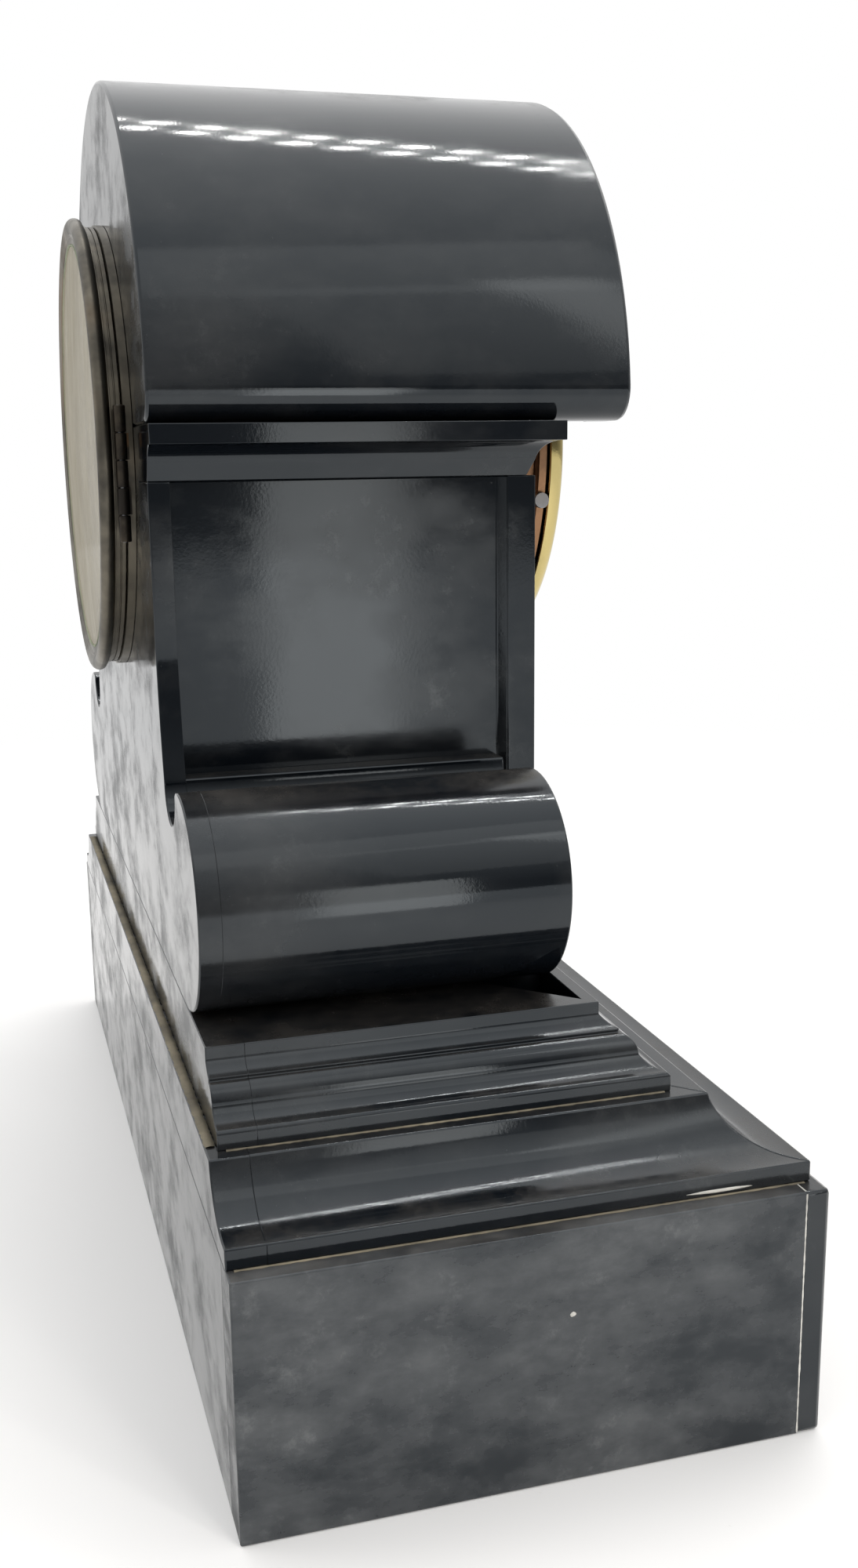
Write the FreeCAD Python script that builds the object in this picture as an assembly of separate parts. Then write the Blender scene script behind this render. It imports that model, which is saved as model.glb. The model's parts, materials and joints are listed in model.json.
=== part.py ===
import FreeCAD, Part
import math
import os

# Black slate mantel clock: a drum head on a waisted neck, two scroll consoles,
# two moulded courses and a plinth, with a round eight day striking movement.
# Millimetres. X is the width, +X to the right of someone facing the dial,
# Y the depth with the dial towards -Y, Z up. The origin is on the resting
# face, in the middle of the plinth.

V = FreeCAD.Vector

# Plinth
plinth_width = 402.0
plinth_depth = 154.5
plinth_height = 69.0
end_slab = 12.0
plinth_front_slab = 12.0
plinth_back_slab = 6.7
base_board_thickness = 8.0

# Cavetto course, the lower moulding
cavetto_height = 19.0
cavetto_side_margin = 5.5
cavetto_back_margin = 2.7
cavetto_fillet = 5.6
cavetto_reach = 19.6
cavetto_front_slab = 10.0
cavetto_bar = 40.0

# Torus course, the upper moulding
torus_height = 21.5
torus_side_margin = 4.2
torus_back_margin = 8.8
torus_front_setback = 2.9
torus_reach = 14.5
torus_fillet = 5.0
torus_top_fillet = 3.5
torus_front_slab = 10.0
torus_bar = 48.0
torus_deck_thickness = 8.0
# shares of the reach, from the outside in, and of the height above the fillet
torus_lip_share = 0.05
torus_lip_drop_share = 0.05
torus_cove_mid_shares = (0.31, 0.12)
torus_cove_end_shares = (0.44, 0.28)
torus_swell_mid_shares = (0.49, 0.5)
torus_swell_end_shares = (0.66, 0.67)
torus_quirk_shares = (0.73, 0.67)
torus_quirk_top_shares = (0.73, 0.72)
torus_ovolo_start_shares = (0.70, 0.75)
torus_ovolo_mid_shares = (0.84, 0.83)

# Neck
neck_width = 191.0
neck_foot_to_capital = 137.5
neck_front_width = 152.0
front_slab = 8.0
face_slab = 6.0
side_slab = 9.0
panel_recess = 3.0
panel_bevel = 2.2
rear_wall_front = 102.1
rear_wall_thickness = 8.5

# Scroll consoles
scroll_radius = 29.2
scroll_from_notch = 15.4
scroll_back_setback = 3.0
notch_radius = 10.3
notch_gap = 4.8
notch_middle_height = 56.9
notch_foot_inset = 1.0
tip_flat = 3.0
flare_reach = 5.6
flare_mid_share = 0.28
flare_start_height = 92.0
flare_end_height = 56.5

# Capital under the drum
capital_height = 15.0
capital_overhang = 9.0
capital_fillet = 5.4
capital_back_reach = 6.2
capital_cove_reach = 6.9
capital_cove_drop = 5.0
capital_band_taper = 2.0
capital_return = 34.5

# Drum
drum_radius = 102.0
drum_centre_rise = 1.0
drum_depth = 137.5
drum_corner = 9.0
drum_wall = 14.0
drum_front_slab = 8.0
drum_back_slab = 8.0
drum_back_rim = 18.0

# Dial, its fixed ring and the opening for the movement
dial_drop = 6.0
front_opening = 61.0
ring_radius = 68.4
ring_thickness = 2.7
ring_spigot_gap = 0.4
ring_spigot_wall = 2.2
ring_spigot_depth = 13.6
ring_lip = 3.2
ring_lip_thickness = 1.0
dial_thickness = 1.4
dial_gap = 0.2
dial_centre_hole = 3.4
winding_hole = 4.0

# Front bezel
bead_radius = 2.2
bead_middle = 68.1
bead_projection = 10.5
band_radius = 67.8
bezel_gap = 0.3
sight_radius = 62.6
glass_radius = 64.0
glass_thickness = 2.0
glass_dome = 2.0
glass_play = 0.15
lip_thickness = 0.8
retainer_width = 2.3
retainer_thickness = 1.0

# Hinges
hinge_offset = 69.9
hinge_rise = 1.1
hinge_bottom = -26.0
hinge_top = 12.0
hinge_barrel = 1.7
hinge_pin = 0.8
hinge_play = 0.05
hinge_slit = 0.3
hinge_knuckles = 5
hinge_leaf = 1.2
hinge_leaf_reach = 8.9
rear_hinge_offset = 68.2
rear_hinge_bottom = -10.0
rear_hinge_top = 10.0

# Rear collar, ring and door
rear_opening = 60.5
collar_play = 0.2
collar_bore = 58.3
collar_radius = 62.5
collar_foot_radius = 69.0
collar_foot_thickness = 1.8
collar_spigot = 6.5
collar_projection = 12.2
rear_ring_radius = 66.0
rear_ring_thickness = 3.0
rear_door_gap = 0.9
rear_door_radius = 66.0
rear_door_bore = 59.5
rear_door_thickness = 5.2
rear_rebate = 1.0
rear_plate_thickness = 1.2
rear_plate_setback = 1.6
sound_hole = 2.6
sound_hole_ring = 40.0
sound_holes = 12

# Straps that clamp the front ring to the rear collar
strap_width = 8.0
strap_thickness = 1.6
strap_offset = 52.4
strap_drop = 17.0
strap_end_gap = 0.3
collar_screw_head = 2.4
collar_screw_head_height = 1.2
collar_screw_shank = 1.4
collar_screw_inset = 1.9

# Movement plates
plate_radius = 48.0
plate_thickness = 2.0
front_plate_inset = 11.1
plate_gap = 36.0
pillar_radius = 2.5
pillar_low_x = 12.0
pillar_low_z = 41.5
pillar_high_x = 22.0
pillar_high_z = 38.0
ear_width = 10.0
ear_reach = 57.6
ear_angles = (60.0, 120.0, 270.0)
pivot_play = 0.05
shoulder_gap = 0.3
dial_foot_radius = 1.5
dial_foot_ring = 40.0
dial_foot_angles = (35.0, 145.0, 270.0)

# Wheels: modules, tooth counts, thicknesses and planes behind the front plate
train_module = 0.5
intermediate_module = 0.45
centre_module = 0.42
third_module = 0.36
strike_module = 0.4
great_teeth = 84
intermediate_pinion_teeth = 12
intermediate_teeth = 72
centre_pinion_teeth = 12
centre_teeth = 84
third_pinion_teeth = 7
third_teeth = 75
escape_pinion_teeth = 7
escape_teeth = 36
pin_pinion_teeth = 12
pin_wheel_teeth = 60
fly_pinion_teeth = 10
wheel_thickness = 1.2
great_thickness = 2.5
pinion_overrun = 0.8
barrel_radius = 19.0
barrel_wall = 1.4
barrel_x = 22.5
barrel_drop = 9.0
barrel_start = 8.5
barrel_length = 17.5
barrel_arbor = 2.5
barrel_bush_play = 0.05
intermediate_plane = 1.0
centre_plane = 30.4
third_plane = 33.3
escape_plane = 18.0
pin_wheel_plane = 6.5
third_angle = 125.0
pin_wheel_angle = 112.0
fly_angle = 60.5
arbor_radius = 0.7
slim_pivot = 0.5
barrel_pivot = 1.8
escape_radius = 11.0
escape_root_share = 0.8
escape_lean_share = 0.45
hub_radius = 2.2
crossing_ring_share = 0.6
crossing_hole_share = 0.22
crossings = 5
wheel_addendum_share = 1.0
wheel_dedendum_share = 0.9
pinion_addendum_share = 0.6
pinion_dedendum_share = 1.25
tip_half_share = 0.07
wheel_root_half_share = 0.22
pinion_root_half_share = 0.19
lifting_pins = 10
lifting_pin_ring = 10.5
lifting_pin = 0.5
lifting_pin_length = 2.4
fly_half_width = 5.0
fly_length = 18.0
fly_thickness = 0.6
fly_plane = 12.0
winding_square = 2.6
square_setback = 0.6
ratchet_radius = 7.0
ratchet_thickness = 1.4
ratchet_gap = 0.4
ratchet_teeth = 24
ratchet_depth_share = 0.84

# Anchor, crutch and pendulum
anchor_rise = 39.0
anchor_thickness = 2.0
anchor_hub = 2.4
anchor_arm = 0.6
pallet_angle = 47.5
pallet_clearance = 2.0
pallet_width = 1.2
crutch_gap = 5.6
crutch_length = 26.0
crutch_width = 2.0
crutch_thickness = 1.0
crutch_fork = 2.2
fork_play = 0.3
rod_width = 3.0
rod_thickness = 1.6
pendulum_plane = 10.0
pendulum_length = 150.0
bob_radius = 21.0
bob_thickness = 9.0
bob_edge_thickness = 2.0
rating_nut_radius = 4.0
rating_nut_height = 4.0
rating_screw = 1.2
rod_tail = 29.0
spring_width = 4.0
spring_thickness = 0.3
spring_above = 4.5
spring_below = 5.0
cock_width = 10.0
cock_height = 8.0
cock_slot = 1.6
cock_slot_depth = 5.4
cock_depth = 13.0
cock_foot = 6.0

# Bell and hammer
bell_x = 12.0
bell_drop = 6.0
bell_radius = 38.0
bell_depth = 22.0
bell_wall = 1.8
bell_rim_plane = 20.0
bell_post = 2.2
bell_nut = 4.0
bell_nut_height = 3.0
hammer_x = 31.0
hammer_drop = 33.0
hammer_head_radius = 3.4
hammer_head_length = 7.0
hammer_gap = 1.6
hammer_hub = 1.6
hammer_arm_width = 2.2
hammer_arm_thickness = 1.4
hammer_arm_plane = 21.5
hammer_tail = 33.6
hammer_tail_plane = 4.4
hammer_tail_width = 2.0
hammer_tail_thickness = 1.0

# Motion work and hands
motion_module = 0.5
hour_module = 0.48
cannon_teeth = 12
minute_teeth = 36
minute_pinion_teeth = 10
hour_teeth = 40
centre_arbor = 1.0
cannon_bore_play = 0.05
cannon_pipe = 1.7
hour_bore_play = 0.06
hour_pipe = 2.6
cannon_plane = 3.4
hour_plane = 6.2
motion_thickness = 1.2
minute_stud = 0.9
minute_wheel_angle = 250.0
hand_thickness = 0.5
hour_hand_gap = 0.9
hand_spacing = 0.7
centre_tip = 0.7
hour_hand_length = 33.0
minute_hand_length = 49.0
hour_hand_tail = 8.0
minute_hand_tail = 12.0
hand_half_width = 1.5
hand_boss = 3.6
minute_boss = 3.0
hand_eye_share = 0.72
hand_eye_radius = 3.6
hand_eye_hole = 2.1
hand_tip_half_width = 0.35
hour_hand_angle = -55.0
minute_hand_angle = 60.0

# Places worked out from the sizes above
half_width = plinth_width / 2
front_y = -plinth_depth / 2
back_y = plinth_depth / 2
cavetto_top = plinth_height + cavetto_height
torus_top = cavetto_top + torus_height
face_y = front_y + torus_front_setback
capital_bottom = torus_top + neck_foot_to_capital
drum_bottom = capital_bottom + capital_height
drum_axis = drum_bottom + drum_centre_rise
dial_axis_height = drum_bottom - dial_drop
cavetto_half = half_width - cavetto_side_margin
cavetto_back = back_y - cavetto_back_margin
torus_half = cavetto_half - cavetto_reach - torus_side_margin
torus_back = cavetto_back - cavetto_reach - torus_back_margin
neck_half = neck_width / 2
rear_wall_y0 = face_y + rear_wall_front
rear_wall_y1 = rear_wall_y0 + rear_wall_thickness
neck_front_half = neck_front_width / 2
capital_half = neck_half + capital_overhang
capital_back = rear_wall_y1 + capital_back_reach
drum_back_y = face_y + drum_depth
ring_front = face_y - ring_thickness
bezel_back = ring_front - bezel_gap
bezel_front = face_y - bead_projection
front_plate_y = face_y + front_plate_inset
inside_y = front_plate_y + plate_thickness
inside_end = inside_y + plate_gap
back_plate_end = inside_end + plate_thickness


def box(x0, x1, y0, y1, z0, z1):
    return Part.makeBox(x1 - x0, y1 - y0, z1 - z0, V(x0, y0, z0))


def wire(steps, place):
    # steps: a start point, then points, or (through, end) pairs for arcs
    edges = []
    here = steps[0]
    for step in steps[1:] + [steps[0]]:
        if isinstance(step[0], tuple):
            through, end = step
            edges.append(Part.Arc(place(*here), place(*through), place(*end)).toShape())
        else:
            end = step
            if place(*here).distanceToPoint(place(*end)) > 0:
                edges.append(Part.makeLine(place(*here), place(*end)))
        here = end
    return Part.Wire(edges)


def along_y(steps, y0, y1):
    outline = wire(steps, lambda u, w: V(u, y0, w))
    return Part.Face(outline).extrude(V(0, y1 - y0, 0))


def along_x(steps, x0, x1):
    outline = wire(steps, lambda u, w: V(x0, u, w))
    return Part.Face(outline).extrude(V(x1 - x0, 0, 0))


def along_z(steps, z0, z1):
    outline = wire(steps, lambda u, w: V(u, w, z0))
    return Part.Face(outline).extrude(V(0, 0, z1 - z0))


def rod_y(radius, y0, y1, x=0.0, z=0.0):
    return Part.makeCylinder(radius, y1 - y0, V(x, y0, z), V(0, 1, 0))


def tube_y(outer, inner, y0, y1, x=0.0, z=0.0):
    return rod_y(outer, y0, y1, x, z).cut(rod_y(inner, y0, y1, x, z))


def turned(steps, x=0.0, z=0.0):
    # steps are (radius, y) points, turned about an axis along Y
    outline = wire(steps, lambda r, y: V(x + r, y, z))
    return Part.Face(outline).revolve(V(x, 0, z), V(0, 1, 0), 360)


def mirrored(shape):
    return shape.mirror(V(0, 0, 0), V(1, 0, 0))


def joined(first, *others):
    return first.fuse(list(others)).removeSplitter()


def save(name, shape):
    if not shape.isValid():
        raise ValueError("shape is not valid: " + name)
    shape.exportStep(os.path.join("parts", name + ".step"))


def save_pair(name, right):
    save(name + "_right", right)
    save(name + "_left", mirrored(right))


def plinth():
    inner = half_width - end_slab
    joint = back_y - plinth_back_slab
    save_pair("plinth_end", box(inner, half_width, front_y, joint, 0, plinth_height))
    save("plinth_front", box(-inner, inner, front_y, front_y + plinth_front_slab, 0, plinth_height))
    save("plinth_back", box(-half_width, half_width, joint, back_y, 0, plinth_height))
    board = box(-inner, inner, front_y + plinth_front_slab, joint, 0, base_board_thickness)
    save("base_board", board)


def cavetto_profile(outer, inner):
    # outer is the face of the fillet, inner the hidden side of the bar
    fillet_top = plinth_height + cavetto_fillet
    rise = cavetto_top - fillet_top
    middle = (
        outer - cavetto_reach * math.cos(math.pi / 4),
        cavetto_top - rise * math.sin(math.pi / 4),
    )
    return [
        (inner, plinth_height),
        (outer, plinth_height),
        (outer, fillet_top),
        (middle, (outer - cavetto_reach, cavetto_top)),
        (inner, cavetto_top),
    ]


def torus_profile(outer, inner):
    fillet_top = cavetto_top + torus_fillet
    shoulder = torus_top - torus_top_fillet
    rise = shoulder - fillet_top

    def at(shares):
        return (outer - torus_reach * shares[0], fillet_top + rise * shares[1])

    return [
        (inner, cavetto_top),
        (outer, cavetto_top),
        (outer, fillet_top - rise * torus_lip_drop_share),
        (outer - torus_reach * torus_lip_share, fillet_top),
        (at(torus_cove_mid_shares), at(torus_cove_end_shares)),
        (at(torus_swell_mid_shares), at(torus_swell_end_shares)),
        at(torus_quirk_shares),
        at(torus_quirk_top_shares),
        at(torus_ovolo_start_shares),
        (at(torus_ovolo_mid_shares), (outer - torus_reach, shoulder)),
        (outer - torus_reach, torus_top),
        (inner, torus_top),
    ]


def mitred_side(profile, half, back, bar, y0, z0, z1):
    # a bar along the side, cut at 45 degrees where it meets the back bar
    solid = along_y(profile(half, half - bar), y0, back)
    plan = [(half - bar, y0), (half, y0), (half, back), (half - bar, back - bar)]
    return solid.common(along_z(plan, z0, z1))


def mitred_back(profile, half, back, bar, x_inner, z0, z1):
    # the right half of the back bar, from x_inner to the corner
    solid = along_x(profile(back, back - bar), x_inner, half)
    plan = [(x_inner, back - bar), (half - bar, back - bar), (half, back), (x_inner, back)]
    return solid.common(along_z(plan, z0, z1))


def course_front(profile, half, y0, y1, z1):
    right = along_y(profile(half, 0), y0, y1)
    return joined(right, mirrored(right))


def cavetto_course():
    joint = front_y + cavetto_front_slab
    save("cavetto_front", course_front(cavetto_profile, cavetto_half, front_y, joint, cavetto_top))
    side = mitred_side(
        cavetto_profile, cavetto_half, cavetto_back, cavetto_bar, joint, plinth_height, cavetto_top
    )
    save_pair("cavetto_side", side)
    back = mitred_back(
        cavetto_profile, cavetto_half, cavetto_back, cavetto_bar, 0, plinth_height, cavetto_top
    )
    save("cavetto_back", joined(back, mirrored(back)))


def torus_course():
    joint = face_y + torus_front_slab
    save("torus_front", course_front(torus_profile, torus_half, face_y, joint, torus_top))
    side = mitred_side(
        torus_profile, torus_half, torus_back, torus_bar, joint, cavetto_top, torus_top
    )
    back_bar = torus_back - rear_wall_y0
    turn = mitred_back(
        torus_profile, torus_half, torus_back, back_bar, neck_half, cavetto_top, torus_top
    )
    save_pair("torus_side", joined(side, turn))
    deck_half = torus_half - torus_bar
    deck_bottom = torus_top - torus_deck_thickness
    save("torus_deck", box(-deck_half, deck_half, joint, rear_wall_y0, deck_bottom, torus_top))


def scroll_outline(inner, with_neck):
    # section of the console: notch, tip and the round of the scroll
    axis = torus_top + scroll_radius
    notch_z = torus_top + notch_middle_height - notch_radius
    notch_high = notch_z + notch_radius
    notch_left = neck_half + notch_gap
    notch_middle = notch_left + notch_radius
    notch_right = notch_middle + notch_radius
    scroll_middle = notch_middle + scroll_from_notch
    outline = [(inner, torus_top), (scroll_middle, torus_top)]
    outline.append(((scroll_middle + scroll_radius, axis), (scroll_middle, axis + scroll_radius)))
    outline.append((notch_right + tip_flat / 2, axis + scroll_radius - notch_foot_inset / 2))
    outline.append((notch_right, notch_high))
    outline.append(((notch_middle, notch_z), (notch_left, notch_high)))
    if with_neck:
        flare_low = torus_top + flare_end_height
        flare_high = torus_top + flare_start_height
        flare_mid = (neck_half + flare_reach * flare_mid_share, (flare_low + flare_high) / 2)
        outline.append((flare_mid, (neck_half, flare_high)))
        outline.append((neck_half, capital_bottom))
        outline.append((inner, capital_bottom))
    else:
        outline.append((inner, notch_high))
    return outline


def consoles():
    face_joint = face_y + face_slab
    panel = neck_half - panel_recess
    body_end = rear_wall_y0 - scroll_back_setback
    save_pair("scroll_face", along_y(scroll_outline(neck_front_half, True), face_y, face_joint))
    save_pair("scroll", along_y(scroll_outline(panel, False), face_joint, body_end))


def neck():
    opening = rod_y(front_opening, face_y, face_y + front_slab, 0, dial_axis_height)
    slab = box(-neck_front_half, neck_front_half, face_y, face_y + front_slab, torus_top, drum_bottom)
    save("neck_front", slab.cut(opening))
    panel = neck_half - panel_recess
    plan = [
        (panel - side_slab, face_y + face_slab),
        (panel, face_y + face_slab),
        (panel, rear_wall_y0 - panel_bevel),
        (neck_half, rear_wall_y0),
        (panel - side_slab, rear_wall_y0),
    ]
    save_pair("neck_side", along_z(plan, torus_top, capital_bottom))


def rear_wall():
    low = box(-neck_half, neck_half, rear_wall_y0, rear_wall_y1, cavetto_top, capital_bottom)
    middle = box(
        -neck_front_half, neck_front_half, rear_wall_y0, rear_wall_y1, capital_bottom, drum_bottom
    )
    inner = drum_radius - drum_wall
    head = rod_y(inner, rear_wall_y0, rear_wall_y1, 0, drum_axis)
    upper = box(-inner, inner, rear_wall_y0, rear_wall_y1, drum_bottom, drum_axis + inner)
    opening = rod_y(rear_opening, rear_wall_y0, rear_wall_y1, 0, dial_axis_height)
    save("rear_wall", joined(low, middle, head.common(upper)).cut(opening))


def capital_profile(outer, inner):
    fillet_bottom = drum_bottom - capital_fillet
    cove_end = (outer - capital_cove_reach, fillet_bottom - capital_cove_drop)
    cove_mid = (
        outer - capital_cove_reach * math.sin(math.pi / 4),
        fillet_bottom - capital_cove_drop * (1 - math.cos(math.pi / 4)),
    )
    return [
        (inner, drum_bottom),
        (outer, drum_bottom),
        (outer, fillet_bottom),
        (cove_mid, cove_end),
        (cove_end[0] - capital_band_taper, capital_bottom),
        (inner, capital_bottom),
    ]


def capital():
    bar = capital_half - neck_front_half
    side = mitred_side(
        capital_profile, capital_half, capital_back, bar, face_y, capital_bottom, drum_bottom
    )
    back_bar = capital_back - rear_wall_y1
    reach = capital_cove_reach + capital_band_taper
    return_inner = capital_half - capital_return
    behind = along_x(
        capital_profile(capital_back, capital_back - max(bar, reach)), return_inner, capital_half
    )
    plan = [
        (return_inner, rear_wall_y1),
        (capital_half - back_bar, rear_wall_y1),
        (capital_half, capital_back),
        (return_inner, capital_back),
    ]
    turn = behind.common(along_z(plan, capital_bottom, drum_bottom))
    save_pair("capital", joined(side, turn))


def drum_outline(radius, corner):
    # a little over half a circle on a flat foot, with rounded lower corners
    corner_z = drum_bottom + corner
    corner_x = math.sqrt((radius - corner) ** 2 - (corner_z - drum_axis) ** 2)
    reach = radius / (radius - corner)
    touch = (corner_x * reach, drum_axis + (corner_z - drum_axis) * reach)
    turn = math.atan2(corner_z - drum_axis, corner_x) / 2 - math.pi / 4
    soft = (corner_x + corner * math.cos(turn), corner_z + corner * math.sin(turn))
    return [
        (-corner_x, drum_bottom),
        (corner_x, drum_bottom),
        (soft, touch),
        ((0, drum_axis + radius), (-touch[0], touch[1])),
        ((-soft[0], soft[1]), (-corner_x, drum_bottom)),
    ]


def drum():
    outline = drum_outline(drum_radius, drum_corner)
    front_joint = face_y + drum_front_slab
    back_joint = drum_back_y - drum_back_slab
    front = along_y(outline, face_y, front_joint)
    save("drum_front", front.cut(rod_y(front_opening, face_y, front_joint, 0, dial_axis_height)))
    shell = along_y(outline, front_joint, back_joint)
    hollow = rod_y(drum_radius - drum_wall, front_joint, back_joint, 0, drum_axis)
    save("drum_shell", shell.cut(hollow))
    back = along_y(outline, back_joint, drum_back_y)
    hole = rod_y(drum_radius - drum_back_rim, back_joint, drum_back_y, 0, dial_axis_height)
    save("drum_back", back.cut(hole))


def knuckles(z0, z1, first):
    # every second knuckle of the barrel, bored for the pin
    pitch = (z1 - z0) / hinge_knuckles
    found = []
    for index in range(first, hinge_knuckles, 2):
        low = z0 + pitch * index + hinge_slit / 2
        found.append((low, low + pitch - hinge_slit))
    return found


def hinge_half(x, y, z0, z1, first, leaf_y0, leaf_y1, inward):
    # knuckles with their leaves, which run inward to the ring they are fixed to
    parts = []
    x_in = x + inward * hinge_leaf_reach
    for low, high in knuckles(z0, z1, first):
        parts.append(Part.makeCylinder(hinge_barrel, high - low, V(x, y, low)))
        parts.append(box(min(x, x_in), max(x, x_in), leaf_y0, leaf_y1, low, high))
    return parts


def pin_bore(x, y, z0, z1):
    return Part.makeCylinder(hinge_pin + hinge_play, z1 - z0, V(x, y, z0))


def dome_middle(edge, y):
    # point halfway out on the glass's round, whose rim lies at depth y
    sphere = (edge**2 + glass_dome**2) / (2 * glass_dome)
    return (edge / 2, y - glass_dome + sphere - math.sqrt(sphere**2 - (edge / 2) ** 2))


def front_bezel():
    axis = dial_axis_height
    x = hinge_offset
    y = ring_front - hinge_rise
    z0 = axis + hinge_bottom
    z1 = axis + hinge_top
    bead_y = bezel_front + bead_radius
    half = math.sqrt(0.5) * bead_radius
    glass_front = bezel_front + lip_thickness + glass_play
    rebate = glass_radius + glass_play
    section = [
        (rebate, bezel_back),
        (band_radius, bezel_back),
        (band_radius, bead_y + math.sqrt(bead_radius**2 - (band_radius - bead_middle) ** 2)),
        ((bead_middle + half, bead_y + half), (bead_middle + bead_radius, bead_y)),
        ((bead_middle + half, bead_y - half), (bead_middle, bezel_front)),
        (sight_radius, bezel_front + lip_thickness / 2),
        (sight_radius, bezel_front + lip_thickness),
        (rebate, bezel_front + lip_thickness),
    ]
    ring = turned(section, 0, axis)
    leaf = bezel_back - (ring_front - bezel_back)
    halves = hinge_half(x, y, z0, z1, 0, leaf - hinge_leaf, leaf, -1)
    clear = rod_y(rebate, bezel_front + lip_thickness, face_y, 0, axis)
    bezel = joined(ring, *[part.cut(clear) for part in halves]).cut(pin_bore(x, y, z0, z1))
    save("bezel_ring", bezel)
    glass_back = glass_front + glass_thickness
    bevel = glass_thickness / 2
    edge = sight_radius - bevel
    seat = glass_radius - retainer_width
    glass = turned(
        [
            (0, glass_front - glass_dome),
            (dome_middle(edge, glass_front), (edge, glass_front)),
            (glass_radius, glass_front + bevel),
            (glass_radius, glass_back),
            (seat, glass_back),
            (dome_middle(seat, glass_back), (0, glass_back - glass_dome)),
        ],
        0,
        axis,
    )
    save("bezel_glass", glass)
    save(
        "glass_retainer",
        tube_y(
            glass_radius,
            glass_radius - retainer_width,
            glass_back + glass_play,
            glass_back + glass_play + retainer_thickness,
            0,
            axis,
        ),
    )
    pin = Part.makeCylinder(hinge_pin, z1 - z0, V(x, y, z0))
    save("bezel_hinge_pin", pin)


def dial_ring():
    axis = dial_axis_height
    x = hinge_offset
    y = ring_front - hinge_rise
    z0 = axis + hinge_bottom
    z1 = axis + hinge_top
    spigot = front_opening - ring_spigot_gap
    bore = spigot - ring_spigot_wall
    dial_back = face_y + dial_gap
    section = [
        (bore + ring_spigot_wall / 2, ring_front),
        (ring_radius, ring_front),
        (ring_radius, face_y),
        (spigot, face_y),
        (spigot, face_y + ring_spigot_depth),
        (bore, face_y + ring_spigot_depth),
        (bore, dial_back + ring_lip_thickness),
        (bore - ring_lip, dial_back + ring_lip_thickness),
        (bore - ring_lip, dial_back),
        (bore + ring_spigot_wall / 2, dial_back),
    ]
    ring = turned(section, 0, axis)
    halves = hinge_half(x, y, z0, z1, 1, ring_front, ring_front + hinge_leaf, -1)
    clear = rod_y(bore + ring_spigot_wall, bezel_front, face_y, 0, axis)
    save("dial_ring", joined(ring, *[part.cut(clear) for part in halves]).cut(pin_bore(x, y, z0, z1)))


def dial():
    axis = dial_axis_height
    spigot = front_opening - ring_spigot_gap
    radius = spigot - ring_spigot_wall / 2 - dial_gap
    y1 = face_y + dial_gap
    y0 = y1 - dial_thickness
    plate = rod_y(radius, y0, y1, 0, axis)
    holes = [rod_y(dial_centre_hole, y0, y1, 0, axis)]
    for side in (-1, 1):
        holes.append(rod_y(winding_hole, y0, y1, side * barrel_x, axis - barrel_drop))
    feet = []
    for angle in dial_foot_angles:
        place_x, place_z = around(dial_foot_ring, angle)
        feet.append(rod_y(dial_foot_radius, y1, front_plate_y, place_x, axis + place_z))
    save("dial", joined(plate.cut(holes), *feet))


def around(radius, degrees):
    angle = math.radians(degrees)
    return radius * math.cos(angle), radius * math.sin(angle)


def rear_fittings():
    axis = dial_axis_height
    foot_y = rear_wall_y1
    foot_end = foot_y + collar_foot_thickness
    ring_y = foot_y + collar_projection
    collar = turned(
        [
            (collar_bore, foot_y - collar_spigot),
            (rear_opening - collar_play, foot_y - collar_spigot),
            (rear_opening - collar_play, foot_y),
            (collar_foot_radius, foot_y),
            (collar_foot_radius, foot_end),
            (collar_radius, foot_end),
            (collar_radius, ring_y),
            (collar_bore, ring_y),
        ],
        0,
        axis,
    )
    ring_end = ring_y + rear_ring_thickness
    door_y = ring_end + rear_door_gap
    hinge_y = (ring_end + door_y) / 2
    x = -rear_hinge_offset
    z0 = axis + rear_hinge_bottom
    z1 = axis + rear_hinge_top
    ring = tube_y(rear_ring_radius, collar_bore, ring_y, ring_end, 0, axis)
    fixed = hinge_half(x, hinge_y, z0, z1, 1, ring_end - hinge_leaf, ring_end, 1)
    clear = rod_y((rear_ring_radius + collar_bore) / 2, ring_y, door_y, 0, axis)
    ring = joined(ring, *[part.cut(clear) for part in fixed]).cut(pin_bore(x, hinge_y, z0, z1))
    screw_y = ring_end - collar_screw_inset
    screw_z = axis - strap_drop
    seats = []
    for side in (-1, 1):
        seat = Part.makeCylinder(
            collar_screw_shank + collar_play, rear_ring_radius, V(0, screw_y, screw_z), V(side, 0, 0)
        )
        seats.append(seat)
    save("rear_ring", ring.cut(seats))
    save("rear_collar", collar.cut(seats))

    door_end = door_y + rear_door_thickness
    middle = (rear_door_bore + rear_door_radius) / 2
    plate_y = door_y + rear_plate_setback
    plate_end = plate_y + rear_plate_thickness
    inner = rear_door_bore - rear_rebate
    section = [
        (inner, door_y),
        (rear_door_radius, door_y),
        (rear_door_radius, door_y + rear_rebate),
        ((middle, door_end), (rear_door_bore, plate_end)),
        (rear_door_bore, plate_y),
        (inner, plate_y),
    ]
    door = turned(section, 0, axis)
    moving = hinge_half(x, hinge_y, z0, z1, 0, door_y, door_y + hinge_leaf, 1)
    clear = rod_y((rear_door_radius + rear_door_bore) / 2, ring_y, door_end, 0, axis)
    door = joined(door, *[part.cut(clear) for part in moving]).cut(pin_bore(x, hinge_y, z0, z1))
    save("rear_door_ring", door)
    plate = rod_y(rear_door_bore, plate_y, plate_end, 0, axis)
    holes = []
    for index in range(sound_holes):
        place_x, place_z = around(sound_hole_ring, 360 / sound_holes * index)
        holes.append(rod_y(sound_hole, plate_y, plate_end, place_x, axis + place_z))
    save("rear_door_plate", plate.cut(holes))
    save("rear_hinge_pin", Part.makeCylinder(hinge_pin, z1 - z0, V(x, hinge_y, z0)))


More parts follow.
